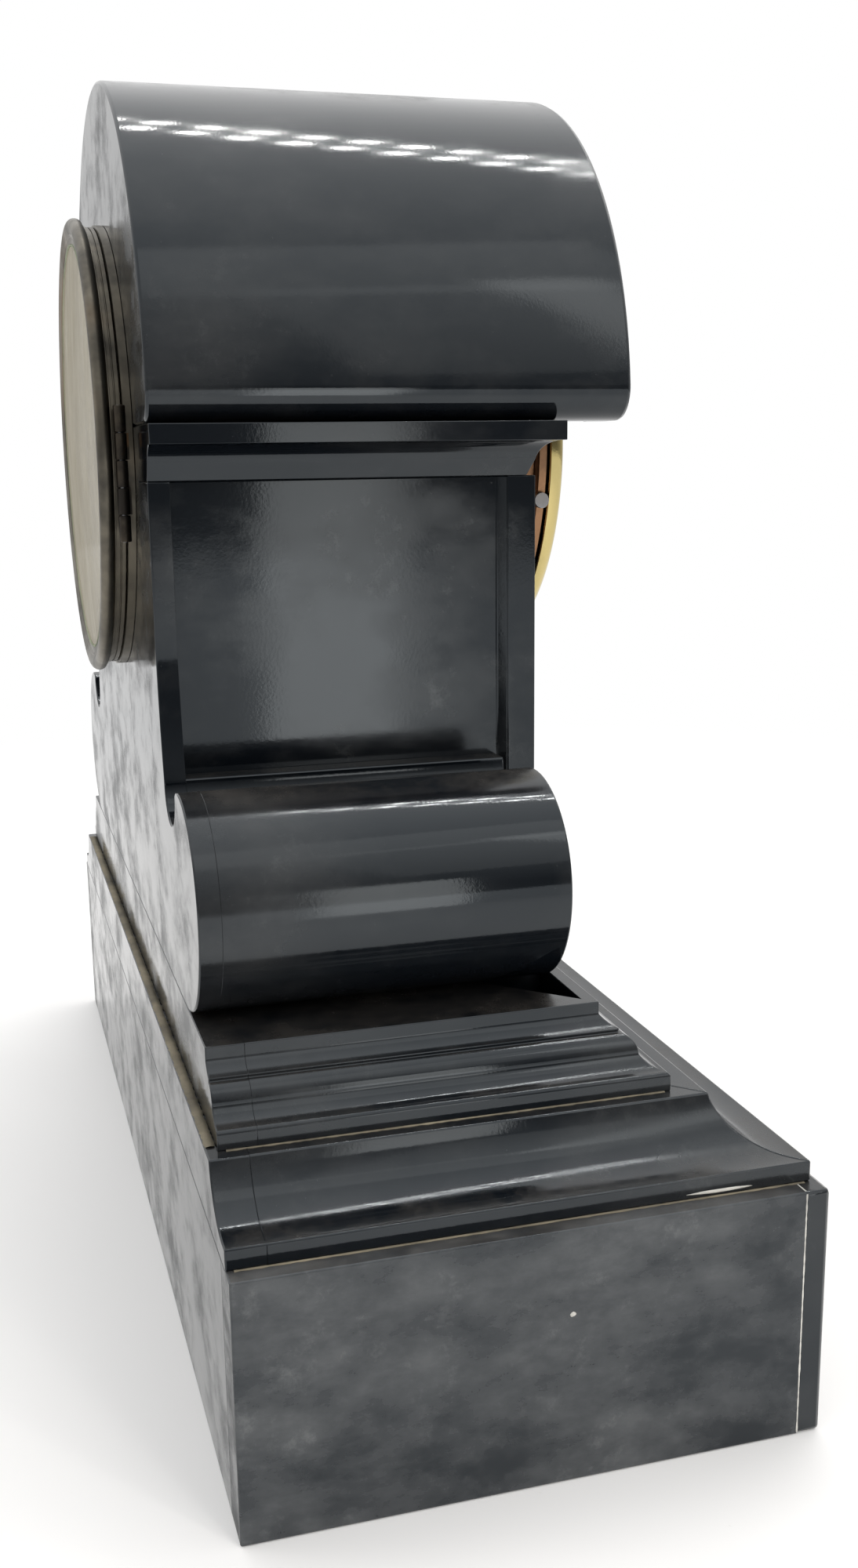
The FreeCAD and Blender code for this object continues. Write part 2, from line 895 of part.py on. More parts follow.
def clamp_straps():
    # two long straps from the lip of the dial ring to radial screws in the rear ring
    axis = dial_axis_height
    y0 = face_y + dial_gap + ring_lip_thickness
    y1 = rear_wall_y1 + collar_projection + rear_ring_thickness - strap_end_gap
    screw_y = rear_wall_y1 + collar_projection + rear_ring_thickness - collar_screw_inset
    z = axis - strap_drop
    surface = math.sqrt(rear_ring_radius**2 - (strap_drop - collar_screw_head) ** 2)
    strap = box(
        strap_offset,
        strap_offset + strap_thickness,
        y0,
        y1,
        z - strap_width / 2,
        z + strap_width / 2,
    )
    head_x = surface + strap_end_gap
    along = V(1, 0, 0)
    shank_start = V(strap_offset, screw_y, z)
    shank = Part.makeCylinder(collar_screw_shank, head_x - strap_offset, shank_start, along)
    head_start = V(head_x, screw_y, z)
    head = Part.makeCylinder(collar_screw_head, collar_screw_head_height, head_start, along)
    right = joined(strap, shank, head)
    save("clamp_straps", Part.makeCompound([right, mirrored(right)]))


def cogs(count, module, outer_share, inner_share, root_half_share, place, y0, facing, gap):
    # a toothed disc; facing is the angle of a tooth, or of a gap when gap is 1
    pitch = 2 * math.pi / count
    radius = module * count / 2
    tip = radius + module * outer_share
    root = radius - module * inner_share
    start = math.radians(facing) + gap * pitch / 2
    points = []
    for index in range(count):
        middle = start + pitch * index
        points.append((root, middle - pitch * root_half_share))
        points.append((tip, middle - pitch * tip_half_share))
        points.append((tip, middle + pitch * tip_half_share))
        points.append((root, middle + pitch * root_half_share))
    places = [V(place[0] + r * math.cos(a), y0, place[1] + r * math.sin(a)) for r, a in points]
    return Part.makePolygon(places + places[:1])


def wheel(count, module, place, plane, thickness, facing):
    y0 = inside_y + plane
    outline = cogs(
        count,
        module,
        wheel_addendum_share,
        wheel_dedendum_share,
        wheel_root_half_share,
        place,
        y0,
        facing,
        0,
    )
    rim = module * count / 2
    holes = []
    for index in range(crossings):
        hole_x, hole_z = around(rim * crossing_ring_share, 360 / crossings * index)
        middle = V(place[0] + hole_x, y0, place[1] + hole_z)
        circle = Part.makeCircle(rim * crossing_hole_share, middle, V(0, 1, 0))
        holes.append(Part.Wire([circle]))
    return Part.Face([outline] + holes).extrude(V(0, thickness, 0))


def pinion(count, module, place, plane, thickness, facing):
    y0 = inside_y + plane - pinion_overrun
    outline = cogs(
        count,
        module,
        pinion_addendum_share,
        pinion_dedendum_share,
        pinion_root_half_share,
        place,
        y0,
        facing,
        1,
    )
    return Part.Face(outline).extrude(V(0, thickness + 2 * pinion_overrun, 0))


def arbor(place, radius, pivot, front=None, back=None):
    # an arbor between the plates, with slimmer pivots in their holes
    body = rod_y(radius, inside_y + shoulder_gap, inside_end - shoulder_gap, *place)
    y0 = front_plate_y if front is None else front
    y1 = back_plate_end if back is None else back
    return [body, rod_y(pivot, y0, y1, *place)]


def angle_to(here, there):
    return math.degrees(math.atan2(there[1] - here[1], there[0] - here[0]))


def beyond(here, distance, degrees):
    step_x, step_z = around(distance, degrees)
    return here[0] + step_x, here[1] + step_z


def meeting(one, reach_one, two, reach_two):
    # the upper of the two points at the given distances from one and two
    gap_x = two[0] - one[0]
    gap_z = two[1] - one[1]
    gap = math.hypot(gap_x, gap_z)
    run = (reach_one**2 - reach_two**2 + gap**2) / (2 * gap)
    rise = math.sqrt(reach_one**2 - run**2)
    unit_x = gap_x / gap
    unit_z = gap_z / gap
    return one[0] + run * unit_x - rise * unit_z, one[1] + run * unit_z + rise * unit_x


def spacing(module, teeth, leaves):
    return module * (teeth + leaves) / 2


centre_place = (0.0, dial_axis_height)
going_place = (barrel_x, dial_axis_height - barrel_drop)
strike_place = (-barrel_x, dial_axis_height - barrel_drop)
intermediate_place = meeting(
    centre_place,
    spacing(intermediate_module, intermediate_teeth, centre_pinion_teeth),
    going_place,
    spacing(train_module, great_teeth, intermediate_pinion_teeth),
)
third_place = beyond(
    centre_place, spacing(centre_module, centre_teeth, third_pinion_teeth), third_angle
)
escape_reach = spacing(third_module, third_teeth, escape_pinion_teeth)
escape_place = (0.0, third_place[1] + math.sqrt(escape_reach**2 - third_place[0] ** 2))
pin_wheel_place = beyond(
    strike_place, spacing(train_module, great_teeth, pin_pinion_teeth), pin_wheel_angle
)
fly_place = beyond(
    pin_wheel_place, spacing(strike_module, pin_wheel_teeth, fly_pinion_teeth), fly_angle
)
anchor_place = (0.0, dial_axis_height + anchor_rise)
hammer_place = (-hammer_x, dial_axis_height - hammer_drop)
bell_place = (bell_x, dial_axis_height - bell_drop)
minute_place = beyond(
    centre_place, spacing(motion_module, minute_teeth, cannon_teeth), minute_wheel_angle
)


def plates():
    axis = dial_axis_height
    slim = slim_pivot + pivot_play
    holes_both = [going_place, strike_place]
    holes_slim = [intermediate_place, third_place, escape_place, pin_wheel_place, fly_place]
    holes_slim += [anchor_place, hammer_place]

    def drilled(y0, y1, centre_hole):
        plate = rod_y(plate_radius, y0, y1, 0, axis)
        bores = [rod_y(barrel_pivot + pivot_play, y0, y1, *place) for place in holes_both]
        bores += [rod_y(slim, y0, y1, *place) for place in holes_slim]
        bores.append(rod_y(centre_hole, y0, y1, *centre_place))
        return plate, bores

    plate, bores = drilled(front_plate_y, inside_y, centre_arbor + pivot_play)
    ears = []
    for angle in ear_angles:
        ear = box(0, ear_reach, front_plate_y, inside_y, axis - ear_width / 2, axis + ear_width / 2)
        ears.append(ear.rotate(V(0, 0, axis), V(0, -1, 0), angle))
    stud_front = front_plate_y - hour_plane - motion_thickness
    stud = rod_y(minute_stud, stud_front, front_plate_y, *minute_place)
    save("front_plate", joined(plate, *ears).cut(bores).fuse(stud))

    plate, bores = drilled(inside_end, back_plate_end, slim)
    pillars = []
    for side in (-1, 1):
        low = (side * pillar_low_x, axis - pillar_low_z)
        high = (side * pillar_high_x, axis + pillar_high_z)
        for place in (low, high):
            pillars.append(rod_y(pillar_radius, inside_y, inside_end, *place))
    save("back_plate", joined(plate.cut(bores), *pillars))


def barrel(place, partner):
    # drum with the great wheel at its back, turning freely on its arbor
    y0 = inside_y + barrel_start
    y1 = y0 + barrel_length
    drum_wall_part = rod_y(barrel_radius, y0, y1 + great_thickness, *place)
    hollow = rod_y(barrel_radius - barrel_wall, y0 + barrel_wall, y1, *place)
    outline = cogs(
        great_teeth,
        train_module,
        wheel_addendum_share,
        wheel_dedendum_share,
        wheel_root_half_share,
        place,
        y1,
        angle_to(place, partner),
        0,
    )
    teeth = Part.Face(outline).extrude(V(0, great_thickness, 0))
    bore = rod_y(barrel_arbor + barrel_bush_play, y0, y1 + great_thickness, *place)
    return joined(drum_wall_part, teeth).cut([hollow, bore])


def barrel_arbor_shape(place):
    # arbor with its square for the key and the ratchet wheel before the plate
    y0 = inside_y + shoulder_gap
    body = rod_y(barrel_arbor, y0, inside_end - shoulder_gap, *place)
    square_front = face_y + dial_gap - dial_thickness + square_setback
    pivot = rod_y(barrel_pivot, front_plate_y - ratchet_gap, back_plate_end, *place)
    half = winding_square / 2
    square = box(
        place[0] - half, place[0] + half, square_front, front_plate_y, place[1] - half, place[1] + half
    )
    y1 = front_plate_y - ratchet_gap
    points = []
    for index in range(ratchet_teeth):
        for radius in (ratchet_radius * ratchet_depth_share, ratchet_radius):
            spot = around(radius, 360 / ratchet_teeth * index)
            points.append(V(place[0] + spot[0], y1 - ratchet_thickness, place[1] + spot[1]))
    ratchet = Part.Face(Part.makePolygon(points + points[:1])).extrude(V(0, ratchet_thickness, 0))
    return joined(body, pivot, square, ratchet)


def going_train():
    save("going_barrel", barrel(going_place, intermediate_place))
    save("going_arbor", barrel_arbor_shape(going_place))

    place = intermediate_place
    shapes = arbor(place, arbor_radius, slim_pivot)
    leaf_plane = barrel_start + barrel_length
    shapes.append(
        pinion(
            intermediate_pinion_teeth,
            train_module,
            place,
            leaf_plane,
            great_thickness,
            angle_to(place, going_place),
        )
    )
    disc = wheel(
        intermediate_teeth,
        intermediate_module,
        place,
        intermediate_plane,
        wheel_thickness,
        angle_to(place, centre_place),
    )
    save("intermediate_wheel", joined(disc, *shapes))

    place = centre_place
    hand_end = face_y + dial_gap - dial_thickness - hour_hand_gap
    hand_end -= 2 * hand_thickness + hand_spacing + centre_tip
    shapes = [
        rod_y(centre_arbor, hand_end, inside_end - shoulder_gap, *place),
        rod_y(slim_pivot, inside_end - shoulder_gap, back_plate_end, *place),
    ]
    shapes.append(
        pinion(
            centre_pinion_teeth,
            intermediate_module,
            place,
            intermediate_plane,
            wheel_thickness - pinion_overrun,
            angle_to(place, intermediate_place),
        )
    )
    disc = wheel(
        centre_teeth,
        centre_module,
        place,
        centre_plane,
        wheel_thickness,
        angle_to(place, third_place),
    )
    save("centre_wheel", joined(disc, *shapes))

    place = third_place
    shapes = arbor(place, arbor_radius, slim_pivot)
    shapes.append(
        pinion(
            third_pinion_teeth,
            centre_module,
            place,
            centre_plane,
            wheel_thickness,
            angle_to(place, centre_place),
        )
    )
    disc = wheel(
        third_teeth, third_module, place, third_plane, wheel_thickness, angle_to(place, escape_place)
    )
    save("third_wheel", joined(disc, *shapes))

    place = escape_place
    shapes = arbor(place, arbor_radius, slim_pivot)
    shapes.append(
        pinion(
            escape_pinion_teeth,
            third_module,
            place,
            third_plane,
            wheel_thickness,
            angle_to(place, third_place),
        )
    )
    y0 = inside_y + escape_plane
    points = []
    for index in range(escape_teeth):
        root = around(escape_radius * escape_root_share, 360 / escape_teeth * index)
        tip = around(escape_radius, 360 / escape_teeth * (index + escape_lean_share))
        for spot in (root, tip):
            points.append(V(place[0] + spot[0], y0, place[1] + spot[1]))
    disc = Part.Face(Part.makePolygon(points + points[:1])).extrude(V(0, wheel_thickness, 0))
    save("escape_wheel", joined(disc, *shapes))


def anchor():
    # arbor, two arms with pallets that straddle the escape wheel, and the crutch
    x, z = anchor_place
    y0 = inside_y + escape_plane - (anchor_thickness - wheel_thickness) / 2
    y1 = y0 + anchor_thickness
    reach = escape_radius + pallet_clearance
    crutch_y = back_plate_end + crutch_gap
    shapes = arbor(anchor_place, arbor_radius, slim_pivot, None, crutch_y + crutch_thickness)
    shapes.append(rod_y(anchor_hub, y0, y1, x, z))
    for side in (-1, 1):
        angle = math.radians(90 + side * pallet_angle)
        foot_x = escape_place[0] + reach * math.cos(angle)
        foot_z = escape_place[1] + reach * math.sin(angle)
        out_x = foot_x + pallet_width * math.cos(angle)
        out_z = foot_z + pallet_width * math.sin(angle)
        arm = [(x, z - anchor_arm), (foot_x, foot_z), (out_x, out_z), (x, z + anchor_arm)]
        shapes.append(along_y(arm, y0, y1))
    half = crutch_width / 2
    fork_z = z - crutch_length
    shapes.append(box(x - half, x + half, crutch_y, crutch_y + crutch_thickness, fork_z, z + half))
    pendulum_y = back_plate_end + pendulum_plane
    tine_y1 = pendulum_y + rod_thickness
    gap = rod_width / 2 + fork_play
    for side in (-1, 1):
        inner = side * gap
        outer = side * (gap + crutch_thickness)
        low = fork_z
        high = fork_z + crutch_fork
        shapes.append(box(min(inner, outer), max(inner, outer), crutch_y, tine_y1, low, high))
    span = gap + crutch_thickness
    shapes.append(box(-span, span, crutch_y, crutch_y + crutch_thickness, fork_z, fork_z + crutch_fork))
    save("anchor", joined(shapes[0], *shapes[1:]))


def pendulum():
    x, z = anchor_place
    y = back_plate_end + pendulum_plane
    middle = y + rod_thickness / 2
    bob_z = z - pendulum_length
    half = rod_width / 2
    spring_y0 = middle - spring_width / 2
    spring = box(
        -spring_thickness / 2,
        spring_thickness / 2,
        spring_y0,
        spring_y0 + spring_width,
        z - spring_below,
        z + spring_above,
    )
    rod = box(-half, half, y, y + rod_thickness, bob_z, z - spring_below)
    tail = Part.makeCylinder(rating_screw, rod_tail, V(0, middle, bob_z - rod_tail), V(0, 0, 1))
    save("pendulum_rod", joined(rod, spring, tail))
    edge = bob_edge_thickness / 2
    swell = bob_thickness / 2
    lens = turned(
        [
            (0, middle - swell),
            ((bob_radius / 2, middle - swell + (swell - edge) / 4), (bob_radius, middle - edge)),
            (bob_radius, middle + edge),
            ((bob_radius / 2, middle + swell - (swell - edge) / 4), (0, middle + swell)),
        ],
        0,
        bob_z,
    )
    slot_half = half + pivot_play
    slot_end = y + rod_thickness + pivot_play
    slot = box(-slot_half, slot_half, y - pivot_play, slot_end, bob_z, z)
    bore = Part.makeCylinder(
        rating_screw + pivot_play, rod_tail, V(0, middle, bob_z - rod_tail), V(0, 0, 1)
    )
    nut_z = bob_z - bob_radius - rating_nut_height
    nut = Part.makeCylinder(rating_nut_radius, rating_nut_height, V(0, middle, nut_z), V(0, 0, 1))
    save("pendulum_bob", Part.makeCompound([lens.cut([slot, bore]), nut.cut(bore)]))


def suspension_cock():
    # bracket on the back plate; the spring hangs in its slot
    x, z = anchor_place
    middle = back_plate_end + pendulum_plane + rod_thickness / 2
    z0 = z + spring_above - cock_slot_depth + shoulder_gap
    block = box(
        -cock_width / 2, cock_width / 2, back_plate_end, back_plate_end + cock_depth, z0, z0 + cock_height
    )
    slot_y0 = middle - spring_width / 2 - fork_play
    slot = box(
        -cock_slot / 2,
        cock_slot / 2,
        slot_y0,
        slot_y0 + spring_width + 2 * fork_play,
        z0,
        z0 + cock_slot_depth,
    )
    room = rod_y(slim_pivot + 2 * pivot_play + crutch_width, back_plate_end, slot_y0 - fork_play, x, z)
    save("suspension_cock", block.cut([slot, room]))


def strike_train():
    save("strike_barrel", barrel(strike_place, pin_wheel_place))
    save("strike_arbor", barrel_arbor_shape(strike_place))

    place = pin_wheel_place
    shapes = arbor(place, arbor_radius, slim_pivot)
    leaf_plane = barrel_start + barrel_length
    shapes.append(
        pinion(
            pin_pinion_teeth,
            train_module,
            place,
            leaf_plane,
            great_thickness,
            angle_to(place, strike_place),
        )
    )
    disc = wheel(
        pin_wheel_teeth,
        strike_module,
        place,
        pin_wheel_plane,
        wheel_thickness,
        angle_to(place, fly_place),
    )
    pin_y1 = inside_y + pin_wheel_plane
    for index in range(lifting_pins):
        spot = beyond(place, lifting_pin_ring, 360 / lifting_pins * index)
        shapes.append(rod_y(lifting_pin, pin_y1 - lifting_pin_length, pin_y1, *spot))
    save("pin_wheel", joined(disc, *shapes))

    place = fly_place
    shapes = arbor(place, arbor_radius, slim_pivot)
    shapes.append(
        pinion(
            fly_pinion_teeth,
            strike_module,
            place,
            pin_wheel_plane,
            wheel_thickness,
            angle_to(place, pin_wheel_place),
        )
    )
    y0 = inside_y + fly_plane
    half = fly_thickness / 2
    vane = box(
        place[0] - fly_half_width,
        place[0] + fly_half_width,
        y0,
        y0 + fly_length,
        place[1] - half,
        place[1] + half,
    )
    save("fly", joined(vane, *shapes))


def bell():
    x, z = bell_place
    rim = back_plate_end + bell_rim_plane
    dome = rim + bell_depth
    shoulder = bell_radius * math.sqrt(0.5)
    inner = bell_radius - bell_wall
    inner_dome = dome - bell_wall
    inner_shoulder = inner * math.sqrt(0.5)
    side = rim + bell_depth * math.sqrt(0.5)
    inner_side = rim + (bell_depth - bell_wall) * math.sqrt(0.5)
    cup = turned(
        [
            (bell_post, dome),
            ((shoulder, side), (bell_radius, rim)),
            (inner, rim),
            ((inner_shoulder, inner_side), (bell_post, inner_dome)),
        ],
        x,
        z,
    )
    save("bell", cup)
    post = rod_y(bell_post - pivot_play, back_plate_end, dome, x, z)
    collar_end = inner_dome - shoulder_gap
    collar_shape = rod_y(bell_nut, collar_end - bell_nut_height, collar_end, x, z)
    nut = rod_y(bell_nut, dome + shoulder_gap, dome + bell_nut_height, x, z)
    post_end = rod_y(bell_post - pivot_play, dome, dome + bell_nut_height, x, z)
    save("bell_stand", joined(post, collar_shape, nut, post_end))


def hammer():
    # arbor between the plates, a tail by the lifting pins and the head by the bell
    x, z = hammer_place
    arm_y = back_plate_end + hammer_arm_plane
    shapes = arbor(hammer_place, arbor_radius, slim_pivot)
    arm_y1 = arm_y + hammer_arm_thickness
    shapes.append(rod_y(slim_pivot, back_plate_end, back_plate_end + shoulder_gap, x, z))
    shapes.append(rod_y(hammer_hub, back_plate_end + shoulder_gap, arm_y1, x, z))
    rim_x = bell_place[0] - bell_radius - hammer_gap
    head_x = rim_x - hammer_head_length
    head_z = bell_place[1]
    middle_x = head_x + hammer_head_length / 2
    half = hammer_arm_width / 2
    arm = [(x - half, z), (x + half, z), (middle_x + half, head_z), (middle_x - half, head_z)]
    shapes.append(along_y(arm, arm_y, arm_y1))
    head_y = (arm_y + arm_y1) / 2
    shapes.append(
        Part.makeCylinder(hammer_head_radius, hammer_head_length, V(head_x, head_y, head_z), V(1, 0, 0))
    )
    tail_y = inside_y + hammer_tail_plane
    half = hammer_tail_width / 2
    shapes.append(box(x - half, x + half, tail_y, tail_y + hammer_tail_thickness, z, z + hammer_tail))
    save("hammer", joined(shapes[0], *shapes[1:]))


def motion_work():
    dial_front = face_y + dial_gap - dial_thickness
    hour_hand_y1 = dial_front - hour_hand_gap
    hour_hand_y0 = hour_hand_y1 - hand_thickness
    minute_hand_y1 = hour_hand_y0 - hand_spacing
    minute_hand_y0 = minute_hand_y1 - hand_thickness
    cannon_y = front_plate_y - cannon_plane
    hour_y = front_plate_y - hour_plane
    axis = dial_axis_height

    def plain_cogs(count, module, place, y, thickness, facing, gap):
        is_pinion = gap == 1
        outline = cogs(
            count,
            module,
            pinion_addendum_share if is_pinion else wheel_addendum_share,
            pinion_dedendum_share if is_pinion else wheel_dedendum_share,
            pinion_root_half_share if is_pinion else wheel_root_half_share,
            place,
            y,
            facing,
            gap,
        )
        return Part.Face(outline).extrude(V(0, thickness, 0))

    def hand(length, tail, boss, y0, y1, turn):
        # a tapering blade with an open ring near its tip, turned to its hour
        half = hand_half_width
        ring_z = axis + length * hand_eye_share
        blade = along_y(
            [
                (-half, axis - tail),
                (half, axis - tail),
                (hand_tip_half_width * 2, ring_z),
                (hand_tip_half_width, axis + length),
                (-hand_tip_half_width, axis + length),
                (-hand_tip_half_width * 2, ring_z),
            ],
            y0,
            y1,
        )
        ring = rod_y(hand_eye_radius, y0, y1, 0, ring_z)
        hole = rod_y(hand_eye_hole, y0, y1, 0, ring_z)
        whole = joined(blade, ring, rod_y(boss, y0, y1, 0, axis)).cut(hole)
        return whole.rotate(V(0, 0, axis), V(0, 1, 0), turn)

    cannon_bore = centre_arbor + cannon_bore_play
    pipe = tube_y(cannon_pipe, cannon_bore, minute_hand_y0, cannon_y + motion_thickness, 0, axis)
    leaves = plain_cogs(
        cannon_teeth,
        motion_module,
        centre_place,
        cannon_y,
        motion_thickness,
        angle_to(centre_place, minute_place),
        1,
    )
    blade = hand(
        minute_hand_length, minute_hand_tail, minute_boss, minute_hand_y0, minute_hand_y1,
        minute_hand_angle
    )
    bore = rod_y(cannon_bore, minute_hand_y0, front_plate_y, 0, axis)
    save("minute_hand", joined(blade, pipe, leaves).cut(bore))

    hour_bore = cannon_pipe + hour_bore_play
    pipe = tube_y(hour_pipe, hour_bore, hour_hand_y0, hour_y + motion_thickness, 0, axis)
    disc = plain_cogs(
        hour_teeth,
        hour_module,
        centre_place,
        hour_y,
        motion_thickness,
        angle_to(centre_place, minute_place),
        0,
    )
    blade = hand(
        hour_hand_length, hour_hand_tail, hand_boss, hour_hand_y0, hour_hand_y1,
        hour_hand_angle
    )
    bore = rod_y(hour_bore, hour_hand_y0, front_plate_y, 0, axis)
    save("hour_hand", joined(blade, pipe, disc).cut(bore))

    disc = plain_cogs(
        minute_teeth,
        motion_module,
        minute_place,
        cannon_y,
        motion_thickness,
        angle_to(minute_place, centre_place),
        0,
    )
    leaves = plain_cogs(
        minute_pinion_teeth,
        hour_module,
        minute_place,
        hour_y,
        motion_thickness + hour_plane - cannon_plane,
        angle_to(minute_place, centre_place),
        1,
    )
    bore = rod_y(minute_stud + pivot_play, hour_y, front_plate_y, *minute_place)
    save("minute_wheel", joined(disc, leaves).cut(bore))


def main():
    os.makedirs("parts", exist_ok=True)
    plinth()
    cavetto_course()
    torus_course()
    consoles()
    neck()
    rear_wall()
    capital()
    drum()
    dial_ring()
    dial()
    front_bezel()
    rear_fittings()
    clamp_straps()
    plates()
    going_train()
    anchor()
    pendulum()
    suspension_cock()
    strike_train()
    bell()
    hammer()
    motion_work()


main()
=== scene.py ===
import json
import math

import bmesh
import bpy
import numpy as np
from mathutils import Matrix, Vector


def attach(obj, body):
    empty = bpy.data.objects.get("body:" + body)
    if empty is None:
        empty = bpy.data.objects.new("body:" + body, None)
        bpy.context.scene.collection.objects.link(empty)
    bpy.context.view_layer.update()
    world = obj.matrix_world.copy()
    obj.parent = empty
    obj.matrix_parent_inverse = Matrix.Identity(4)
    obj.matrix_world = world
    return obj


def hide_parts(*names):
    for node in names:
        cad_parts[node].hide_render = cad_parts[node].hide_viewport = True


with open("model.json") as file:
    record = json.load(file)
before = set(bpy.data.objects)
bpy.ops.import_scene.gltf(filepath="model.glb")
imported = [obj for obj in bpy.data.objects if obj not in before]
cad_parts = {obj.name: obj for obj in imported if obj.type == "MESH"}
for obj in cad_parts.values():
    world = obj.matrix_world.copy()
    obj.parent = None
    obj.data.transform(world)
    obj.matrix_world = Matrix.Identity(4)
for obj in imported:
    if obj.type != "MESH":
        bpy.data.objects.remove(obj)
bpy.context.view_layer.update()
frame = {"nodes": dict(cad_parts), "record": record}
nodes = frame["nodes"]
mm = 0.001

# the stone slabs are all cut from one slate, and their names start with one of these words
slateWords = ("plinth", "base", "cavetto", "torus", "scroll", "neck", "capital", "drum")
slateNodes = [n for n in nodes if n.split("_")[0] in slateWords] + ["rear_wall"]


def boxOf(node):
    # low and high corner of a CAD node in mm: the least and the greatest of its points
    source = nodes[node]
    points = np.empty(3 * len(source.data.vertices), np.float32)
    source.data.vertices.foreach_get("co", points)
    place = np.array(source.matrix_world)
    points = (points.reshape(-1, 3).astype(float) @ place[:3, :3].T + place[:3, 3]) / mm
    return points.min(axis=0).round(3).tolist(), points.max(axis=0).round(3).tolist()


# materials
# each helper adds one node and returns it, so a finish reads as a short list


class Finish:
    def __init__(self, name):
        self.mat = bpy.data.materials.new(name)
        self.mat.use_nodes = True
        self.tree = self.mat.node_tree
        self.tree.nodes.clear()
        self.out = self.add("ShaderNodeOutputMaterial")
        self.shader = self.add("ShaderNodeBsdfPrincipled")
        self.join(self.shader, "BSDF", self.out, "Surface")
        self.coords = self.add("ShaderNodeTexCoord")

    def add(self, kind, **values):
        node = self.tree.nodes.new(kind)
        for key, value in values.items():
            setattr(node, key, value)
        return node

    def join(self, a, outName, b, inName):
        self.tree.links.new(a.outputs[outName], b.inputs[inName])

    def put(self, **values):
        # values of the main shader's own inputs
        for key, value in values.items():
            self.shader.inputs[key.replace("_", " ")].default_value = value

    def mapped(self, scale=(1, 1, 1), turn=(0, 0, 0)):
        mapping = self.add("ShaderNodeMapping")
        mapping.inputs["Scale"].default_value = scale
        mapping.inputs["Rotation"].default_value = turn
        self.join(self.coords, "Object", mapping, "Vector")
        return mapping

    def noise(self, scale, detail=4.0, rough=0.55, stretch=(1, 1, 1), turn=(0, 0, 0)):
        tex = self.add("ShaderNodeTexNoise")
        tex.inputs["Scale"].default_value = scale
        tex.inputs["Detail"].default_value = detail
        tex.inputs["Roughness"].default_value = rough
        self.join(self.mapped(stretch, turn), "Vector", tex, "Vector")
        return tex

    def ramp(self, source, outName, stops):
        # stops are (place, grey) or (place, colour)
        ramp = self.add("ShaderNodeValToRGB")
        while len(ramp.color_ramp.elements) < len(stops):
            ramp.color_ramp.elements.new(0.5)
        for element, (place, grey) in zip(ramp.color_ramp.elements, stops):
            element.position = place
            element.color = grey if isinstance(grey, tuple) else (grey, grey, grey, 1)
        self.join(source, outName, ramp, "Fac")
        return ramp

    def rise(self, source, outName, low, high):
        # grey that goes from 0 at low to 1 at high
        return self.ramp(source, outName, [(low, 0.0), (high, 1.0)])

    def calc(self, kind, a, b):
        # a and b are numbers or (node, output)
        node = self.add("ShaderNodeMath", operation=kind)
        for index, value in enumerate((a, b)):
            if isinstance(value, tuple):
                self.tree.links.new(value[0].outputs[value[1]], node.inputs[index])
            else:
                node.inputs[index].default_value = value
        return node

    def blendColor(self, factor, a, b):
        # factor is (node, output); a and b are colours or (node, output), on inputs 6 and 7
        mix = self.add("ShaderNodeMix", data_type="RGBA")
        self.tree.links.new(factor[0].outputs[factor[1]], mix.inputs[0])
        for index, value in ((6, a), (7, b)):
            if isinstance(value[0], bpy.types.Node):
                self.tree.links.new(value[0].outputs[value[1]], mix.inputs[index])
            else:
                mix.inputs[index].default_value = (*value, 1)
        return mix

    def blendShader(self, factor, a, b):
        # factor, a and b are (node, output)
        mix = self.add("ShaderNodeMixShader")
        for index, value in enumerate((factor, a, b)):
            self.tree.links.new(value[0].outputs[value[1]], mix.inputs[index])
        return mix

    def bump(self, source, outName, strength, distance, before=None):
        bump = self.add("ShaderNodeBump")
        bump.inputs["Strength"].default_value = strength
        bump.inputs["Distance"].default_value = distance
        self.join(source, outName, bump, "Height")
        if before:
            self.join(before, "Normal", bump, "Normal")
        return bump


slateLook = {
    "stone": (0.0034, 0.0046, 0.0064),
    "haze": (0.0250, 0.0258, 0.0268),
    "dust": (0.085, 0.074, 0.062),
    "scuff": (0.16, 0.165, 0.165),
    "speck": (0.11, 0.115, 0.12),
    "tint": (0.86, 0.94, 1.0, 1.0),
    "ior": 1.52,
    "hazeSpan": 0.20,
    # noises: scale, detail, roughness, stretch, turn
    "scuffNoise": (85.0, 8.0, 0.78, (1, 1, 1), (0.4, 1.1, 0.2)),
    "grainNoise": (1100.0, 2.0, 0.6),
    "dustNoise": (30.0, 7.0, 0.72),
    "swellNoise": (10.0, 2.0, 0.5),
    "cloudNoise": (7.0, 0.62),
    "wipedScaleShare": 1.9,
    "wipedNoise": (6.0, 0.62, (1.0, 0.7, 1.5), (0.35, 0.2, 0.6)),
    # where a noise or the way that a face points starts to count, and where it counts in full
    "scuffEdge": (0.55, 0.68),
    "speckEdge": (0.74, 0.80),
    "dustEdge": (0.40, 0.72),
    "upwardEdge": (0.86, 0.99),
    "frontEdge": (0.90, 0.99),
    "frontCloud": 28.0,
    "frontStart": 0.175,
    "frontDull": 0.17,  # roughness that the haze adds to the front
    "dustDull": 0.8,  # roughness that dust adds
    "speckShare": 0.3,
    # bumps: strength, height in metres
    "swellBump": (0.25, 0.0008),
    "grainBump": (0.08, 0.00010),
}


